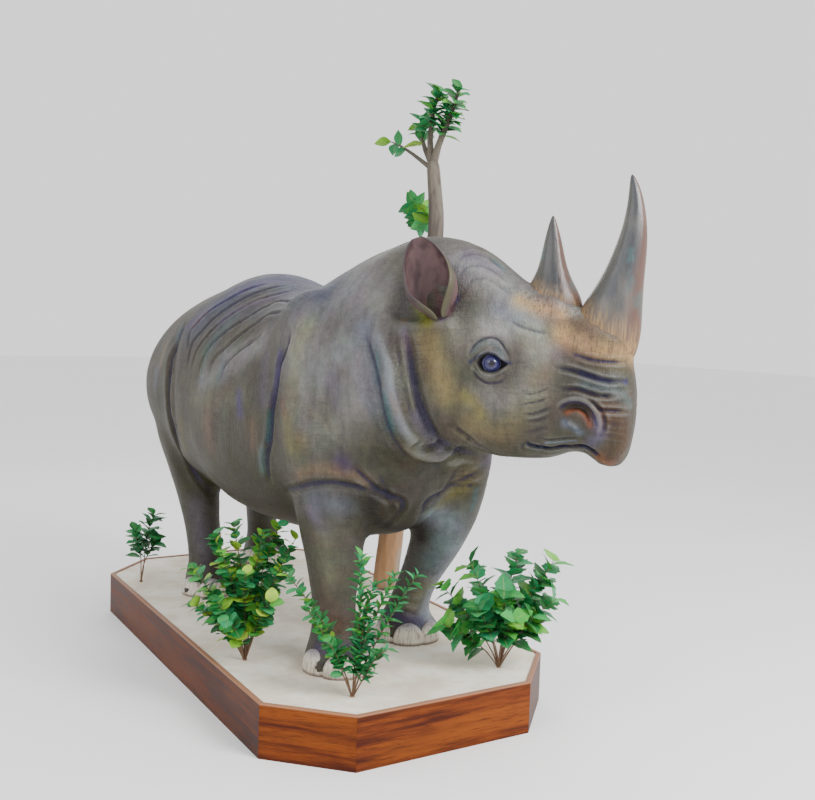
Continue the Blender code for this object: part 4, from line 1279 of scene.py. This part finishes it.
# %% Grow the plants
DECK = 0.195
PEG_RADIUS, PEG_LENGTH = 0.009, 0.035
STEM_FOOT, STEM_TIP = 0.0034, 0.0015
STEM_STEPS = 7
CORNER_TURN = math.radians(-31)
ACROSS = Vector((math.cos(CORNER_TURN), math.sin(CORNER_TURN), 0))
OUTWARD = Vector((math.sin(CORNER_TURN), -math.cos(CORNER_TURN), 0))


def grow_plant(name):
    (x, y), shoots = PLANTS[name]
    foot = Vector((x, y, DECK - 0.004))
    place = (x, y, DECK - 0.012)
    bpy.ops.mesh.primitive_cylinder_add(vertices=16, radius=PEG_RADIUS, depth=PEG_LENGTH, location=place)
    peg = bpy.context.object
    peg.data.transform(peg.matrix_world)
    peg.matrix_world = Matrix()
    mark(peg.data, "tint", np.full(len(peg.data.vertices), BARE_WOOD))
    peg.data.materials.append(leaf_look)
    pieces = [peg]
    for i, (across, height, out, kind, count, length, width, bare, greens) in enumerate(shoots):
        spread = across * ACROSS + out * OUTWARD
        path = []
        for k in range(STEM_STEPS):
            t = k / (STEM_STEPS - 1)
            away, climb = t * (0.62 + 0.38 * t), t * (1.12 - 0.12 * t) * height
            wave = 0.010 * math.sin(3.1 * t + 2 * i) * math.sin(math.pi * t)
            path.append(foot + away * spread + climb * UP + wave * ACROSS)
        pieces.append(draw_stem(name, path, STEM_FOOT, STEM_TIP, leaf_look))
        pieces += leaves_up(path, kind, count, length, width, bare, greens, pairs=kind == "narrow")
    finished(bundle(name.replace("plant", "dressed"), pieces), "leaf", name)


for name in PLANTS:
    grow_plant(name)

# %% [markdown]
# ## Bark
# The tree's bark is grey-brown with long upright furrows, and it turns to ochre and sand colour towards the
# foot.

# %% Paint the bark


def bark_finish():
    """Grey-brown bark with long furrows, ochre towards the foot."""
    wood = Finish("tree bark", 0.8)
    grain = wood.noise(wood.place(stretch=(1, 1, 0.12)), 55, 6, 0.65)
    broad = wood.noise(wood.place(stretch=(1, 1, 0.35)), 7, 4)
    height = wood.node("SeparateXYZ", {}, {0: wood.place()}, out=2)
    colour = wood.mix(broad.between(0.35, 0.65), (0.062, 0.046, 0.040), (0.128, 0.109, 0.080))
    colour = wood.mix(grain.between(0.52, 0.68) * 0.8, colour, (0.045, 0.030, 0.026))
    low = (0 - height).between(-0.95, -0.35)
    foot = wood.mix(broad.between(0.50, 0.60), (0.330, 0.260, 0.190), (0.400, 0.190, 0.070))
    colour = wood.mix(low * 0.6, colour, foot)
    return wood.done(colour, grain * 0.3 + 0.6, wood.bump(grain, 0.004))


bark = bark_finish()
print("bark:", len(bark.node_tree.nodes), "nodes")

# %% [markdown]
# ## The tree
# A slim trunk rises behind the animal's left side and leans. It is drawn out through the solid trunk's own
# rows, and its bark is roughened by pressing long furrows into it.

# %% Draw out the trunk
TREE_HEIGHT = 2.450
TRUNK = (  # share of the height, across, back, radius
    (0.000, 0.5370, 0.160, 0.0680), (0.130, 0.5506, 0.130, 0.0646), (0.270, 0.5642, 0.095, 0.0612),
    (0.400, 0.5710, 0.050, 0.0564), (0.520, 0.5744, 0.000, 0.0503), (0.630, 0.5812, -0.075, 0.0435),
    (0.730, 0.5853, -0.128, 0.0388), (0.800, 0.5853, -0.108, 0.0354), (0.870, 0.5839, -0.078, 0.0313),
)

rows = smooth_path([(back, across, height) for height, across, back, _ in TRUNK], 0.02)
trunk_rows = []
for back, across, height in rows:
    radius = float(np.interp(height, [row[0] for row in TRUNK], [row[3] for row in TRUNK]))
    trunk_rows.append(((float(across), float(back), GROUND + float(height) * TREE_HEIGHT), radius, radius))
trunk = draw_out("tree", trunk_rows, 28)
round_off(trunk, 1)
trunk.data.materials.append(bark)
points = read(trunk.data)
middles = np.array([middle for middle, _, _ in trunk_rows])
centre = np.column_stack([np.interp(points[:, 2], middles[:, 2], middles[:, k]) for k in (0, 1)])
arm = points[:, :2] - centre
turn = np.arctan2(arm[:, 1], arm[:, 0])
furrow = np.sin(9 * turn + 2.2 * np.sin(points[:, 2] * 7) + 1.5 * np.sin(points[:, 2] * 23))
furrow = 0.045 * furrow + 0.03 * np.sin(4 * turn + points[:, 2] * 3)
points[:, :2] = centre + arm * (0.97 + 0.4 * furrow[:, None])
write(trunk.data, points)
mark(trunk.data, "tint", np.full(len(points), BARE_WOOD))
print("trunk:", triangles(trunk), "triangles")

# %% [markdown]
# ## Branches
# The trunk forks into a few twigs whose leaves make the small crown over the animal's back, with one spray
# lower down and three leaves straight on the trunk. The leaf patterns have done their work after this and
# are removed.

# %% Grow the branches
BARE_SHARE = 0.40  # of a branch, before its first leaf
LOW_LEAVES = ((0.70, 2.6), (0.66, 3.6), (0.775, 2.2))  # share of the height, and the way outward
BRANCHES = (  # points as share of the height, across from the trunk's top and back; radii; leaves
    (
        ((0.850, 0.00, -0.078), (0.895, 0.01, -0.110), (0.945, 0.02, -0.190), (0.990, 0.01, -0.270)),
        (0.022, 0.005), 32,
    ),
    (
        ((0.850, 0.00, -0.078), (0.905, 0.00, -0.050), (0.958, -0.01, -0.085), (0.993, 0.00, -0.115)),
        (0.020, 0.004), 30,
    ),
    (
        ((0.850, 0.01, -0.078), (0.890, 0.00, -0.010), (0.925, 0.00, 0.030), (0.955, 0.01, 0.050)),
        (0.016, 0.004), 16,
    ),
    (
        ((0.850, 0.00, -0.078), (0.885, -0.03, 0.060), (0.905, -0.05, 0.150), (0.915, -0.06, 0.215)),
        (0.012, 0.003), 4,
    ),
    (((0.740, 0.00, -0.125), (0.762, 0.02, -0.010), (0.788, 0.03, 0.120)), (0.013, 0.004), 20),
    (((0.740, 0.00, -0.125), (0.750, 0.01, -0.060), (0.752, 0.02, 0.050)), (0.010, 0.003), 10),
    (((0.895, 0.01, -0.110), (0.925, 0.02, -0.120), (0.965, 0.03, -0.190)), (0.010, 0.003), 14),
)

wood = [trunk]
leaves = []
for points, (thick, thin), count in BRANCHES:
    places = [(TRUNK[-1][1] + out, back, GROUND + height * TREE_HEIGHT) for height, out, back in points]
    path = [Vector(place) for place in smooth_path(places, 0.05)]
    wood.append(draw_stem("branch", path, thick, thin, bark, sides=8))
    leaves += leaves_up(path, "oval", count, 0.100, 0.068, BARE_SHARE, (0.1, 0.9), rise=25)
for height, turn in LOW_LEAVES:
    k = int(height / TRUNK[-1][0] * (len(trunk_rows) - 1))
    base = Vector(trunk_rows[k][0])
    out = Vector((math.cos(turn), math.sin(turn), 0.3))
    leaves += hang_leaf("oval", base + 0.03 * out, out, UP, 0.10, 0.07, 0.3)
finished(bundle("tree_dressed", wood + leaves), "bark", "tree")
for pattern in patterns.values():
    bpy.data.objects.remove(pattern)

# %% [markdown]
# ## Paint for the hide
# The real hide is airbrushed resin: a grey-brown ground with sprayed patches of slate, violet, olive, ochre
# and teal. The folds also get painted shade. Each paint gets its name here, as linear red, green and blue.

# %% Mix the paints
PAINTS = {
    "ground": (0.052, 0.046, 0.034), "ash": (0.158, 0.155, 0.160), "chalk": (0.230, 0.228, 0.222),
    "pale": (0.152, 0.148, 0.134), "pale olive": (0.148, 0.140, 0.088), "slate": (0.028, 0.032, 0.062),
    "sky": (0.095, 0.115, 0.160), "violet grey": (0.090, 0.074, 0.122), "violet": (0.045, 0.028, 0.110),
    "deep violet": (0.020, 0.014, 0.080), "deep blue": (0.010, 0.014, 0.048), "lilac": (0.125, 0.105, 0.170),
    "teal": (0.016, 0.078, 0.090), "teal grey": (0.065, 0.105, 0.108), "olive": (0.085, 0.080, 0.026),
    "dark olive": (0.026, 0.024, 0.009), "umber": (0.026, 0.021, 0.012), "tan": (0.165, 0.110, 0.065),
    "rose": (0.130, 0.065, 0.066), "rose tan": (0.145, 0.085, 0.055), "rust": (0.150, 0.045, 0.014),
    "brown": (0.075, 0.034, 0.017), "mustard": (0.165, 0.137, 0.020), "ochre": (0.160, 0.130, 0.046),
    "horn ochre": (0.330, 0.205, 0.095), "lime": (0.160, 0.165, 0.016), "coral": (0.175, 0.060, 0.028),
    "black": (0.010, 0.009, 0.012), "pale blue": (0.185, 0.215, 0.250), "lining": (0.078, 0.040, 0.042),
}
print(len(PAINTS), "paints")

# %% [markdown]
# ## Strokes on the body and the legs
# Each stroke is a paint, how far it spreads in metres, how strongly it covers, and the spots of the picture
# it passes through. The strokes of the body are sprayed on both flanks, and those of the legs only where
# the picture shows them, because the legs of the two sides stand differently.

# %% List the strokes of the body and the legs
BODY_STROKES = (  # paint, reach, cover, spots of the picture
    ("ash", 0.120, 0.85, ((300, 350), (318, 308), (350, 290), (372, 300))),
    ("ash", 0.090, 0.80, ((308, 390), (330, 360), (352, 345), (362, 390))),
    ("pale", 0.080, 0.70, ((312, 430), (338, 425), (352, 405))),
    ("sky", 0.060, 0.50, ((365, 330), (372, 360), (374, 400))),
    ("slate", 0.130, 0.97, ((200, 318), (235, 296), (285, 282), (330, 288))),
    ("slate", 0.060, 0.35, ((216, 338), (252, 314), (300, 300))),
    ("deep violet", 0.034, 0.42, ((232, 290), (262, 279), (290, 276), (318, 284))),
    ("violet", 0.030, 0.45, ((180, 335), (215, 306), (262, 283), (290, 280))),
    ("violet grey", 0.035, 0.50, ((222, 322), (262, 300), (296, 292))),
    ("teal grey", 0.030, 0.40, ((206, 352), (218, 334), (236, 318))),
    ("rose", 0.030, 0.45, ((194, 324), (206, 314))),
    ("teal grey", 0.030, 0.45, ((180, 330), (178, 340))),
    ("tan", 0.030, 0.45, ((166, 345), (161, 362))),
    ("sky", 0.032, 0.55, ((157, 372), (155, 388))),
    # painted shade in the fold over the thigh
    ("umber", 0.020, 0.80, ((187, 322), (179, 345), (171, 375), (168, 408), (176, 440), (192, 470))),
    ("dark olive", 0.090, 0.95, ((159, 402), (167, 434), (177, 464), (187, 492))),
    ("ash", 0.055, 0.60, ((204, 380), (232, 366), (262, 338))),
    ("pale olive", 0.050, 0.35, ((196, 400), (220, 400), (240, 396))),
    ("ash", 0.045, 0.50, ((226, 354), (262, 346))),
    ("teal grey", 0.025, 0.45, ((201, 378), (206, 358), (214, 345))),
    ("teal grey", 0.018, 0.45, ((217, 382), (224, 362))),
    ("olive", 0.045, 0.60, ((181, 424), (186, 452))),
    ("rose tan", 0.050, 0.55, ((206, 420), (211, 447))),
    ("violet", 0.024, 0.75, ((239, 394), (240, 413))),
    # painted shade along the bottom of the barrel, under the belly
    ("dark olive", 0.110, 0.80, ((205, 480), (238, 468), (272, 486), (290, 505))),
    ("teal grey", 0.020, 0.55, ((262, 450), (262, 470))),
    ("rose tan", 0.030, 0.30, ((252, 425), (254, 445))),
    ("violet", 0.015, 0.80, ((280, 352), (277, 384), (274, 404))),
    ("teal", 0.015, 0.80, ((272, 412), (269, 440))),
    ("violet grey", 0.040, 0.45, ((266, 360), (264, 400))),
    ("pale olive", 0.060, 0.60, ((303, 330), (296, 362), (292, 402))),
    ("violet grey", 0.045, 0.35, ((332, 380), (337, 402))),
    ("violet grey", 0.045, 0.30, ((356, 300), (366, 330))),
    ("rust", 0.016, 0.40, ((282, 402), (285, 416))),
    ("mustard", 0.045, 0.38, ((287, 425), (291, 448), (300, 440))),
    ("tan", 0.026, 0.65, ((298, 474), (320, 469), (345, 473), (366, 479))),
    ("violet", 0.030, 0.40, ((340, 460), (346, 466))),
    ("teal", 0.022, 0.75, ((386, 396), (388, 412), (391, 428))),
    ("teal", 0.014, 0.50, ((377, 350), (379, 382))),
)
LEG_STROKES = (
    ("sky", 0.055, 0.45, ((312, 500), (345, 506))),
    ("lilac", 0.030, 0.50, ((312, 512), (322, 530))),
    ("pale olive", 0.060, 0.50, ((325, 540), (330, 575))),
    ("violet grey", 0.045, 0.55, ((196, 505), (202, 535), (206, 560))),
    ("brown", 0.050, 0.50, ((325, 600), (340, 630))),
    ("violet", 0.030, 0.50, ((318, 648), (340, 650), (358, 650))),
    ("umber", 0.045, 0.60, ((362, 500), (366, 540), (362, 580))),
    # painted light: the left foreleg, which lies in the body's shadow, is painted paler
    ("pale blue", 0.080, 0.95, ((432, 515), (450, 545), (440, 580), (428, 612))),
    ("teal grey", 0.050, 0.45, ((440, 535), (430, 570))),
    ("lilac", 0.030, 0.50, ((445, 560), (450, 575))),
    ("pale olive", 0.045, 0.80, ((425, 585), (432, 606), (410, 606))),
    ("violet", 0.030, 0.60, ((388, 612), (404, 620), (420, 622))),
    ("umber", 0.060, 0.85, ((384, 492), (400, 512), (418, 530))),
    # painted shade in the dark hollow of the chest, between the forelegs
    ("black", 0.030, 0.60, ((372, 498), (378, 520), (398, 536), (420, 536))),
    ("mustard", 0.035, 0.50, ((440, 505), (455, 492), (466, 486))),
    ("teal", 0.012, 0.60, ((476, 490), (472, 510))),
    ("umber", 0.075, 0.42, ((196, 500), (206, 540), (216, 570))),
    ("dark olive", 0.075, 0.60, ((262, 530), (262, 552))),
)
print(len(BODY_STROKES), "strokes on the body,", len(LEG_STROKES), "on the legs")

# %% [markdown]
# ## Strokes on the head
# The head carries the smallest strokes: a coral rim in the nostril, deep blue painted shade along the mouth
# and under the lids, lime at the ear. They are sprayed on both cheeks, mirrored in the head's own axes.

# %% List the strokes of the head
HEAD_STROKES = (
    ("ash", 0.085, 0.90, ((452, 262), (488, 276), (520, 298))),
    ("chalk", 0.060, 0.80, ((490, 330), (515, 325), (535, 332), (542, 350))),
    ("pale", 0.062, 0.75, ((485, 397), (512, 402), (530, 388))),
    ("pale", 0.060, 0.55, ((450, 320), (465, 340))),
    ("lilac", 0.030, 0.45, ((470, 256), (496, 270))),
    ("teal", 0.012, 0.50, ((494, 262), (503, 268))),
    ("ochre", 0.048, 0.65, ((430, 340), (438, 368), (446, 395))),
    ("mustard", 0.026, 0.50, ((465, 396), (475, 403), (481, 414))),
    ("ochre", 0.050, 0.40, ((470, 425), (500, 432), (515, 420))),
    ("sky", 0.035, 0.50, ((500, 312), (520, 318))),
    ("pale olive", 0.050, 0.45, ((528, 342), (545, 362))),
    ("rose tan", 0.035, 0.45, ((532, 380), (545, 374))),
    ("rose tan", 0.038, 0.60, ((552, 322), (574, 316), (600, 328))),
    ("chalk", 0.032, 0.80, ((552, 310), (566, 308), (580, 312))),
    ("horn ochre", 0.036, 0.90, ((562, 334), (580, 342), (606, 350), (632, 356))),
    ("horn ochre", 0.028, 0.85, ((520, 300), (538, 308), (560, 313))),
    # painted shade in the three deep muzzle wrinkles
    ("deep violet", 0.010, 0.85, ((582, 373), (600, 379), (626, 382))),
    ("brown", 0.008, 0.70, ((570, 388), (592, 394), (630, 396))),
    ("deep violet", 0.006, 0.60, ((575, 355), (596, 361), (614, 362))),
    ("teal grey", 0.022, 0.50, ((585, 386), (612, 390), (630, 403))),
    ("brown", 0.048, 0.90, ((606, 416), (620, 436), (612, 458))),
    ("umber", 0.040, 0.60, ((600, 430), (618, 430), (614, 452))),
    ("rust", 0.018, 0.65, ((598, 456), (610, 464))),
    ("sky", 0.016, 0.75, ((565, 423), (572, 427), (579, 432))),
    ("violet grey", 0.022, 0.70, ((594, 420), (600, 434), (592, 442))),
    ("coral", 0.0110, 0.95, ((567, 412), (575, 410), (583, 413), (588, 420), (590, 425))),
    ("deep violet", 0.006, 0.70, ((562, 407), (571, 402), (583, 404), (592, 411), (597, 424))),
    ("pale olive", 0.030, 0.40, ((528, 404), (545, 398))),
    # painted shade in the mouth's slit
    ("deep blue", 0.0060, 0.95, ((528, 444), (541, 447), (563, 446), (584, 446), (597, 454))),
    # painted highlight along the upper lip's edge
    ("sky", 0.0045, 0.75, ((546, 443), (560, 442), (576, 441))),
    ("lime", 0.022, 0.85, ((419, 304), (424, 314), (428, 322))),
    ("lining", 0.014, 1.00, ((434, 288), (438, 296), (440, 302))),
    ("violet", 0.014, 0.80, ((456, 298), (449, 308), (442, 318))),
    ("rust", 0.010, 0.45, ((404, 320), (407, 340), (411, 356))),
    ("violet grey", 0.018, 0.55, ((404, 330), (409, 356), (414, 384), (421, 408), (432, 430))),
    ("violet grey", 0.026, 0.50, ((416, 415), (426, 432), (440, 446))),
    # painted highlight along the ridge of the collar
    ("sky", 0.016, 0.60, ((376, 338), (386, 364), (391, 396), (403, 428), (422, 452))),
    ("rose tan", 0.009, 0.60, ((390, 394), (396, 412))),
    # painted shade in the groove under the jaw
    ("umber", 0.007, 0.85, ((448, 424), (468, 439), (490, 455), (508, 460))),
    ("olive", 0.040, 0.50, ((455, 462), (480, 472))),
    ("teal grey", 0.012, 0.55, ((474, 350), (484, 341), (496, 345), (502, 356))),
    # painted shade along the upper lid, where the lid shades the eye
    ("deep blue", 0.007, 0.80, ((470, 362), (480, 355), (492, 353), (502, 360), (510, 363))),
    ("pale", 0.005, 0.60, ((472, 368), (482, 376), (494, 377))),
)


print(len(HEAD_STROKES), "strokes on the head")

# %% [markdown]
# ## Spraying
# The colours are kept on the points of the skin, so they come along in any view. Another number on each
# point says how much painted shade it holds: what the grooves gathered as they were pressed, and a little
# more wherever the skin lies below a smoothed copy of itself. Below zero it is painted highlight on the
# ridges. A third says where the short hatching around the horns' feet may show.

# %% Spray the hide
HORN_FEET = ((0.530, 1.36, 0.13), (0.345, 1.45, 0.10))  # forward, height, reach of the hatching
EAR_HOLLOWS = ((0.010, -0.185, 1.415), (0.010, 0.185, 1.415))


def spray(surface, colours, strokes, mirror):
    for paint, reach, cover, spots in strokes:
        for places in surface.drawn(spots, mirror):
            if not places:
                continue
            path = smooth_path(places, 0.3 * reach) if len(places) > 1 else np.array([tuple(places[0])])
            away, _ = distance_to(surface.points, path, 2.4 * reach)
            weight = cover * np.exp(-((away / reach) ** 2)) * (away < 2.4 * reach)
            colours += weight[:, None] * (np.array(PAINTS[paint]) - colours)


def hollows(piece, rounds, deepest):
    """How deep each point lies below a smoothed copy of the skin: 1 in a fold, -1 on a ridge."""
    points, normals = read(piece.data), read(piece.data, "normal")
    relax(piece.data, rounds, regain=0.5)
    depth = np.sum((read(piece.data) - points) * normals, axis=1)
    write(piece.data, points)
    return np.clip(depth / deepest, -1, 1)


surface = Surface(skin)
colours = np.tile(PAINTS["ground"], (len(surface.points), 1))
# painted shade: skin below 1.1 m that faces down is darkened towards umber
underside_shade = np.clip(-surface.normals[:, 2], 0, 1) * (surface.points[:, 2] < 1.1)
colours += (0.60 * underside_shade)[:, None] * (np.array(PAINTS["umber"]) - colours)
low = fade(surface.points[:, 2], 0.55, 0.95)
colours += (0.15 * low)[:, None] * (np.array(PAINTS["dark olive"]) - colours)
spray(surface, colours, BODY_STROKES, "body")
spray(surface, colours, LEG_STROKES, "none")
spray(surface, colours, HEAD_STROKES, "head")
head_points = in_head(surface.points)
for place in EAR_HOLLOWS:
    in_ear = fade(np.linalg.norm(head_points - place, axis=1), 0.036, 0.052)
    colours += in_ear[:, None] * (np.array(PAINTS["lining"]) - colours)
hatch = np.zeros(len(head_points))
for forward, height, reach in HORN_FEET:
    from_horn = np.linalg.norm(head_points - (forward, 0, height), axis=1)
    hatch = np.maximum(hatch, fade(from_horn, reach, reach + 0.06))
mark(skin.data, "paint", colours)
# painted shade in the folds and painted highlight on the ridges, from the pressing and from the skin's depth
# below its smoothed copy
mark(skin.data, "hollow", np.clip(0.95 * surface.wash + 0.35 * hollows(skin, 8, 0.0050), -1, 1))
mark(skin.data, "hatch", hatch)
print("sprayed", len(BODY_STROKES) + len(LEG_STROKES) + len(HEAD_STROKES), "strokes")

# %% [markdown]
# ## The hide's finish
# Over the sprayed colours come broad clouds, streaks that run down the animal as the painter's brush did,
# fine specks, and a network of shallow cracks like real hide. The folds hold dark violet painted shade, and
# their raised edges get a pale painted highlight. Short ochre hatching surrounds the feet of the horns.

# %% Finish the hide


def hide_finish():
    hide = Finish("painted hide", 0.5)
    hide.shader.inputs["Specular IOR Level"].default_value = 0.22
    here = hide.place()
    colour = hide.attribute("paint", out="Color")
    hollow = hide.attribute("hollow")
    clouds = hide.noise(here, 4.5, 6, 0.62)
    streaks = hide.noise(hide.place(stretch=(26, 26, 4)), 1.0, 6, 0.68)
    specks = hide.noise(here, 110, 4, 0.7)
    cracks = hide.cells(hide.place(stretch=(1, 1, 0.6)), 80, "DISTANCE_TO_EDGE").between(0.0, 0.20)
    colour = hide.mix(clouds.between(0.38, 0.62) * 0.30, colour, (0.62, 0.60, 0.56), "MULTIPLY")
    colour = hide.mix(streaks.between(0.45, 0.66) * 0.42, colour, (0.50, 0.50, 0.50), "MULTIPLY")
    colour = hide.mix((1 - streaks).between(0.50, 0.70) * 0.34, colour, (1.35, 1.33, 1.26), "MULTIPLY")
    tinge = hide.node("TexNoise", {}, {"Vector": here, "Scale": 9.0, "Detail": 5.0}, out=1)
    colour = hide.mix(0.22, colour, tinge, "OVERLAY")
    mottle = hide.noise(here, 32, 6, 0.7)
    colour = hide.mix(mottle.between(0.44, 0.66) * 0.35, colour, (0.52, 0.51, 0.50), "MULTIPLY")
    colour = hide.mix((1 - mottle).between(0.48, 0.66) * 0.25, colour, (1.5, 1.48, 1.40), "MULTIPLY")
    colour = hide.mix(specks.between(0.54, 0.70) * 0.35, colour, (0.50, 0.48, 0.50), "MULTIPLY")
    # painted shade darkens the folds, and painted highlight lightens the ridges and raised edges
    colour = hide.mix(hollow.between(0.10, 1.0) * 0.80, colour, (0.014, 0.011, 0.034))
    colour = hide.mix((0 - hollow).between(0.10, 0.9) * 0.30, colour, (0.240, 0.240, 0.235))
    lines = (hide.noise(hide.place(stretch=(5, 5, 34)), 1.0, 3, 0.5) - 0.5).size()
    creases = (1 - lines * 42).between(0.0, 1.0) * clouds.between(0.42, 0.56)
    colour = hide.mix(creases * 0.17, colour, (0.030, 0.025, 0.045))
    strands = hide.noise(hide.place(stretch=(120, 120, 16)), 1.0, 3, 0.6).between(0.50, 0.62)
    colour = hide.mix(hide.attribute("hatch") * strands * 0.7, colour, (0.085, 0.055, 0.040))
    relief = hide.bump(cracks, 0.0007)
    relief = hide.bump(specks, 0.0008, relief)
    relief = hide.bump(streaks, 0.0016, relief)
    relief = hide.bump(1 - creases, 0.0009, relief)
    return hide.done(colour, clouds * 0.25 + 0.38, relief)


hide_look = hide_finish()
skin.data.materials.append(hide_look)
finished(skin, "hide", "rhino")

# %% [markdown]
# ## Horns, ears and nails
# The horns are dark above with a reddish front, and their frayed feet show ochre strands. The ears are skin
# outside and a red-brown lining inside, with a dark rim. The nails are cream, darker at the sole and violet
# above.

# %% Finish the horns, ears and nails


def horn_finish(name, dark, light):
    horn = Finish(name, 0.3)
    frayed, front = horn.attribute("frayed"), horn.attribute("front")
    strands = horn.noise(horn.place(stretch=(110, 110, 8)), 1.0, 5, 0.65)
    clouds = horn.noise(horn.place(stretch=(1, 1, 0.3)), 16, 4)
    colour = horn.mix(clouds.between(0.40, 0.62), dark, light)
    colour = horn.mix(front.between(0.72, 1.0) * 0.75, colour, (0.110, 0.048, 0.030))
    colour = horn.mix((1 - front).between(0.55, 0.9) * 0.45, colour, (0.090, 0.085, 0.060))
    teal = horn.noise(horn.place(), 11, 3).between(0.56, 0.66)
    colour = horn.mix(teal * 0.45, colour, (0.040, 0.095, 0.100))
    fray = (frayed + (strands * 0.3 - 0.15)).between(0.10, 0.95)
    ochre = horn.mix(strands.between(0.40, 0.60), (0.120, 0.070, 0.040), (0.270, 0.160, 0.062))
    colour = horn.mix(fray, colour, ochre)
    return horn.done(colour, fray * 0.4 + 0.31, horn.bump(strands, 0.0012))


def lining_finish():
    lining = Finish("ear lining", 0.6)
    clouds = lining.noise(lining.place(stretch=(1, 1, 0.4)), 26, 5)
    colour = lining.mix(clouds.between(0.36, 0.64), (0.042, 0.018, 0.020), (0.105, 0.056, 0.058))
    colour = lining.mix(lining.attribute("rim") * 0.8, colour, (0.030, 0.022, 0.024))
    colour = lining.mix(lining.attribute("strip") * 0.7, colour, (0.056, 0.054, 0.016))
    return lining.done(colour, clouds * 0.2 + 0.5, lining.bump(clouds, 0.002))


def nail_finish():
    nail = Finish("nail", 0.4)
    strands = nail.noise(nail.place(stretch=(130, 130, 10)), 1.0, 4, 0.6)
    height = nail.node("SeparateXYZ", {}, {0: nail.place()}, out=2)
    colour = nail.mix(strands.between(0.34, 0.58), (0.330, 0.280, 0.225), (0.620, 0.570, 0.480))
    colour = nail.mix((0 - height).between(-0.212, -0.199) * 0.8, colour, (0.100, 0.055, 0.040))
    colour = nail.mix(height.between(0.245, 0.285) * 0.75, colour, (0.110, 0.090, 0.140))
    return nail.done(colour, strands * 0.3 + 0.3, nail.bump(strands, 0.0007))


for ear in ears:
    ear.data.materials.append(lining_finish())
    ear.data.materials.append(hide_look)
front_horn.data.materials.append(horn_finish("front horn", (0.038, 0.040, 0.045), (0.085, 0.080, 0.073)))
rear_horn.data.materials.append(horn_finish("rear horn", (0.014, 0.017, 0.021), (0.040, 0.039, 0.040)))
nail_look = nail_finish()
for nail in nails:
    nail.data.materials.append(nail_look)
print("finished:", len(ears), "ears, 2 horns and the nails of", len(nails), "feet")

# %% [markdown]
# ## Glass, deck and boards
# The eyes are dark glass with a violet iris. The deck is plywood under a coat with sand in it. Each board
# is varnished hardwood, whose grain runs along it: the way a board lies is worked out from its own corners.

# %% Finish the eyes, the deck and the boards


def eye_finish():
    glass = Finish("glass eye", 0.06)
    ahead = glass.attribute("ahead")
    fibres = glass.noise(glass.place(), 260, 3)
    iris = glass.mix(fibres, (0.010, 0.009, 0.046), (0.030, 0.029, 0.098))
    colour = glass.mix(ahead.between(0.35, 0.60), (0.110, 0.110, 0.200), iris)
    colour = glass.mix(ahead.between(0.930, 0.950), colour, (0.004, 0.004, 0.010))
    return glass.done(colour, fibres * 0.04 + 0.12)


def deck_finish():
    sand = Finish("sanded deck", 0.9)
    here = sand.place()
    grains = sand.noise(here, 420, 3, 0.7)
    patches = sand.noise(here, 5, 6, 0.6)
    colour = sand.mix(patches.between(0.36, 0.64), (0.690, 0.610, 0.490), (0.840, 0.795, 0.700))
    colour = sand.mix(sand.noise(here, 14, 4).between(0.56, 0.70) * 0.5, colour, (0.700, 0.560, 0.470))
    colour = sand.mix(grains.between(0.52, 0.72) * 0.35, colour, (0.400, 0.340, 0.270))
    return sand.done(colour, grains * 0.1 + 0.85, sand.bump(grains, 0.0012, sand.bump(patches, 0.002)))


BOARD_PAINTED_SHADE = {"board_right": 0.75, "board_back_right": 0.60, "board_front_left": 0.65, "board_left": 0.65}


def board_finish(board):
    """Varnished hardwood whose grain runs the way the board lies. Some boards are darkened with painted
    shade.
    """
    flat = read(board.data)[:, :2]
    lengthways = np.linalg.svd(flat - flat.mean(axis=0))[2][0]
    turn = -math.atan2(lengthways[1], lengthways[0])
    wood = Finish(board.name + " wood", 0.35)
    wood.shader.inputs["Specular IOR Level"].default_value = 0.15
    grain = wood.noise(wood.place(stretch=(3, 45, 45), turn=turn), 1.0, 6, 0.62)
    fibre = wood.noise(wood.place(stretch=(14, 240, 240), turn=turn), 1.0, 4, 0.6)
    broad = wood.noise(wood.place(stretch=(1.2, 8, 8), turn=turn), 1.0, 3)
    height = wood.node("SeparateXYZ", {}, {0: wood.place()}, out=2)
    colour = wood.mix(grain.between(0.34, 0.66), (0.050, 0.007, 0.001), (0.172, 0.036, 0.003))
    colour = wood.mix(broad.between(0.45, 0.65) * 0.5, colour, (0.235, 0.058, 0.004))
    colour = wood.mix(fibre.between(0.50, 0.68) * 0.6, colour, (0.030, 0.005, 0.001))
    # painted shade: the boards listed above are darkened
    colour = wood.mix(BOARD_PAINTED_SHADE.get(board.name, 0.0), colour, (0.35, 0.30, 0.36), "MULTIPLY")
    # painted highlight along the top edge of each board
    colour = wood.mix(height.between(0.1925, 0.1985) * 0.6, colour, (0.420, 0.220, 0.130))
    return wood.done(colour, grain * 0.2 + 0.34, wood.bump(fibre, 0.0005))


eye_look = eye_finish()
for eye in eyes:
    eye.data.materials.append(eye_look)
deck_look = deck_finish()
for slot in nodes["platform"].material_slots:
    slot.material = deck_look
for name, board in nodes.items():
    if name.startswith("board_"):
        look = board_finish(board)
        for slot in board.material_slots:
            slot.material = look
print("finished: eyes, deck and", sum(name.startswith("board_") for name in nodes), "boards")
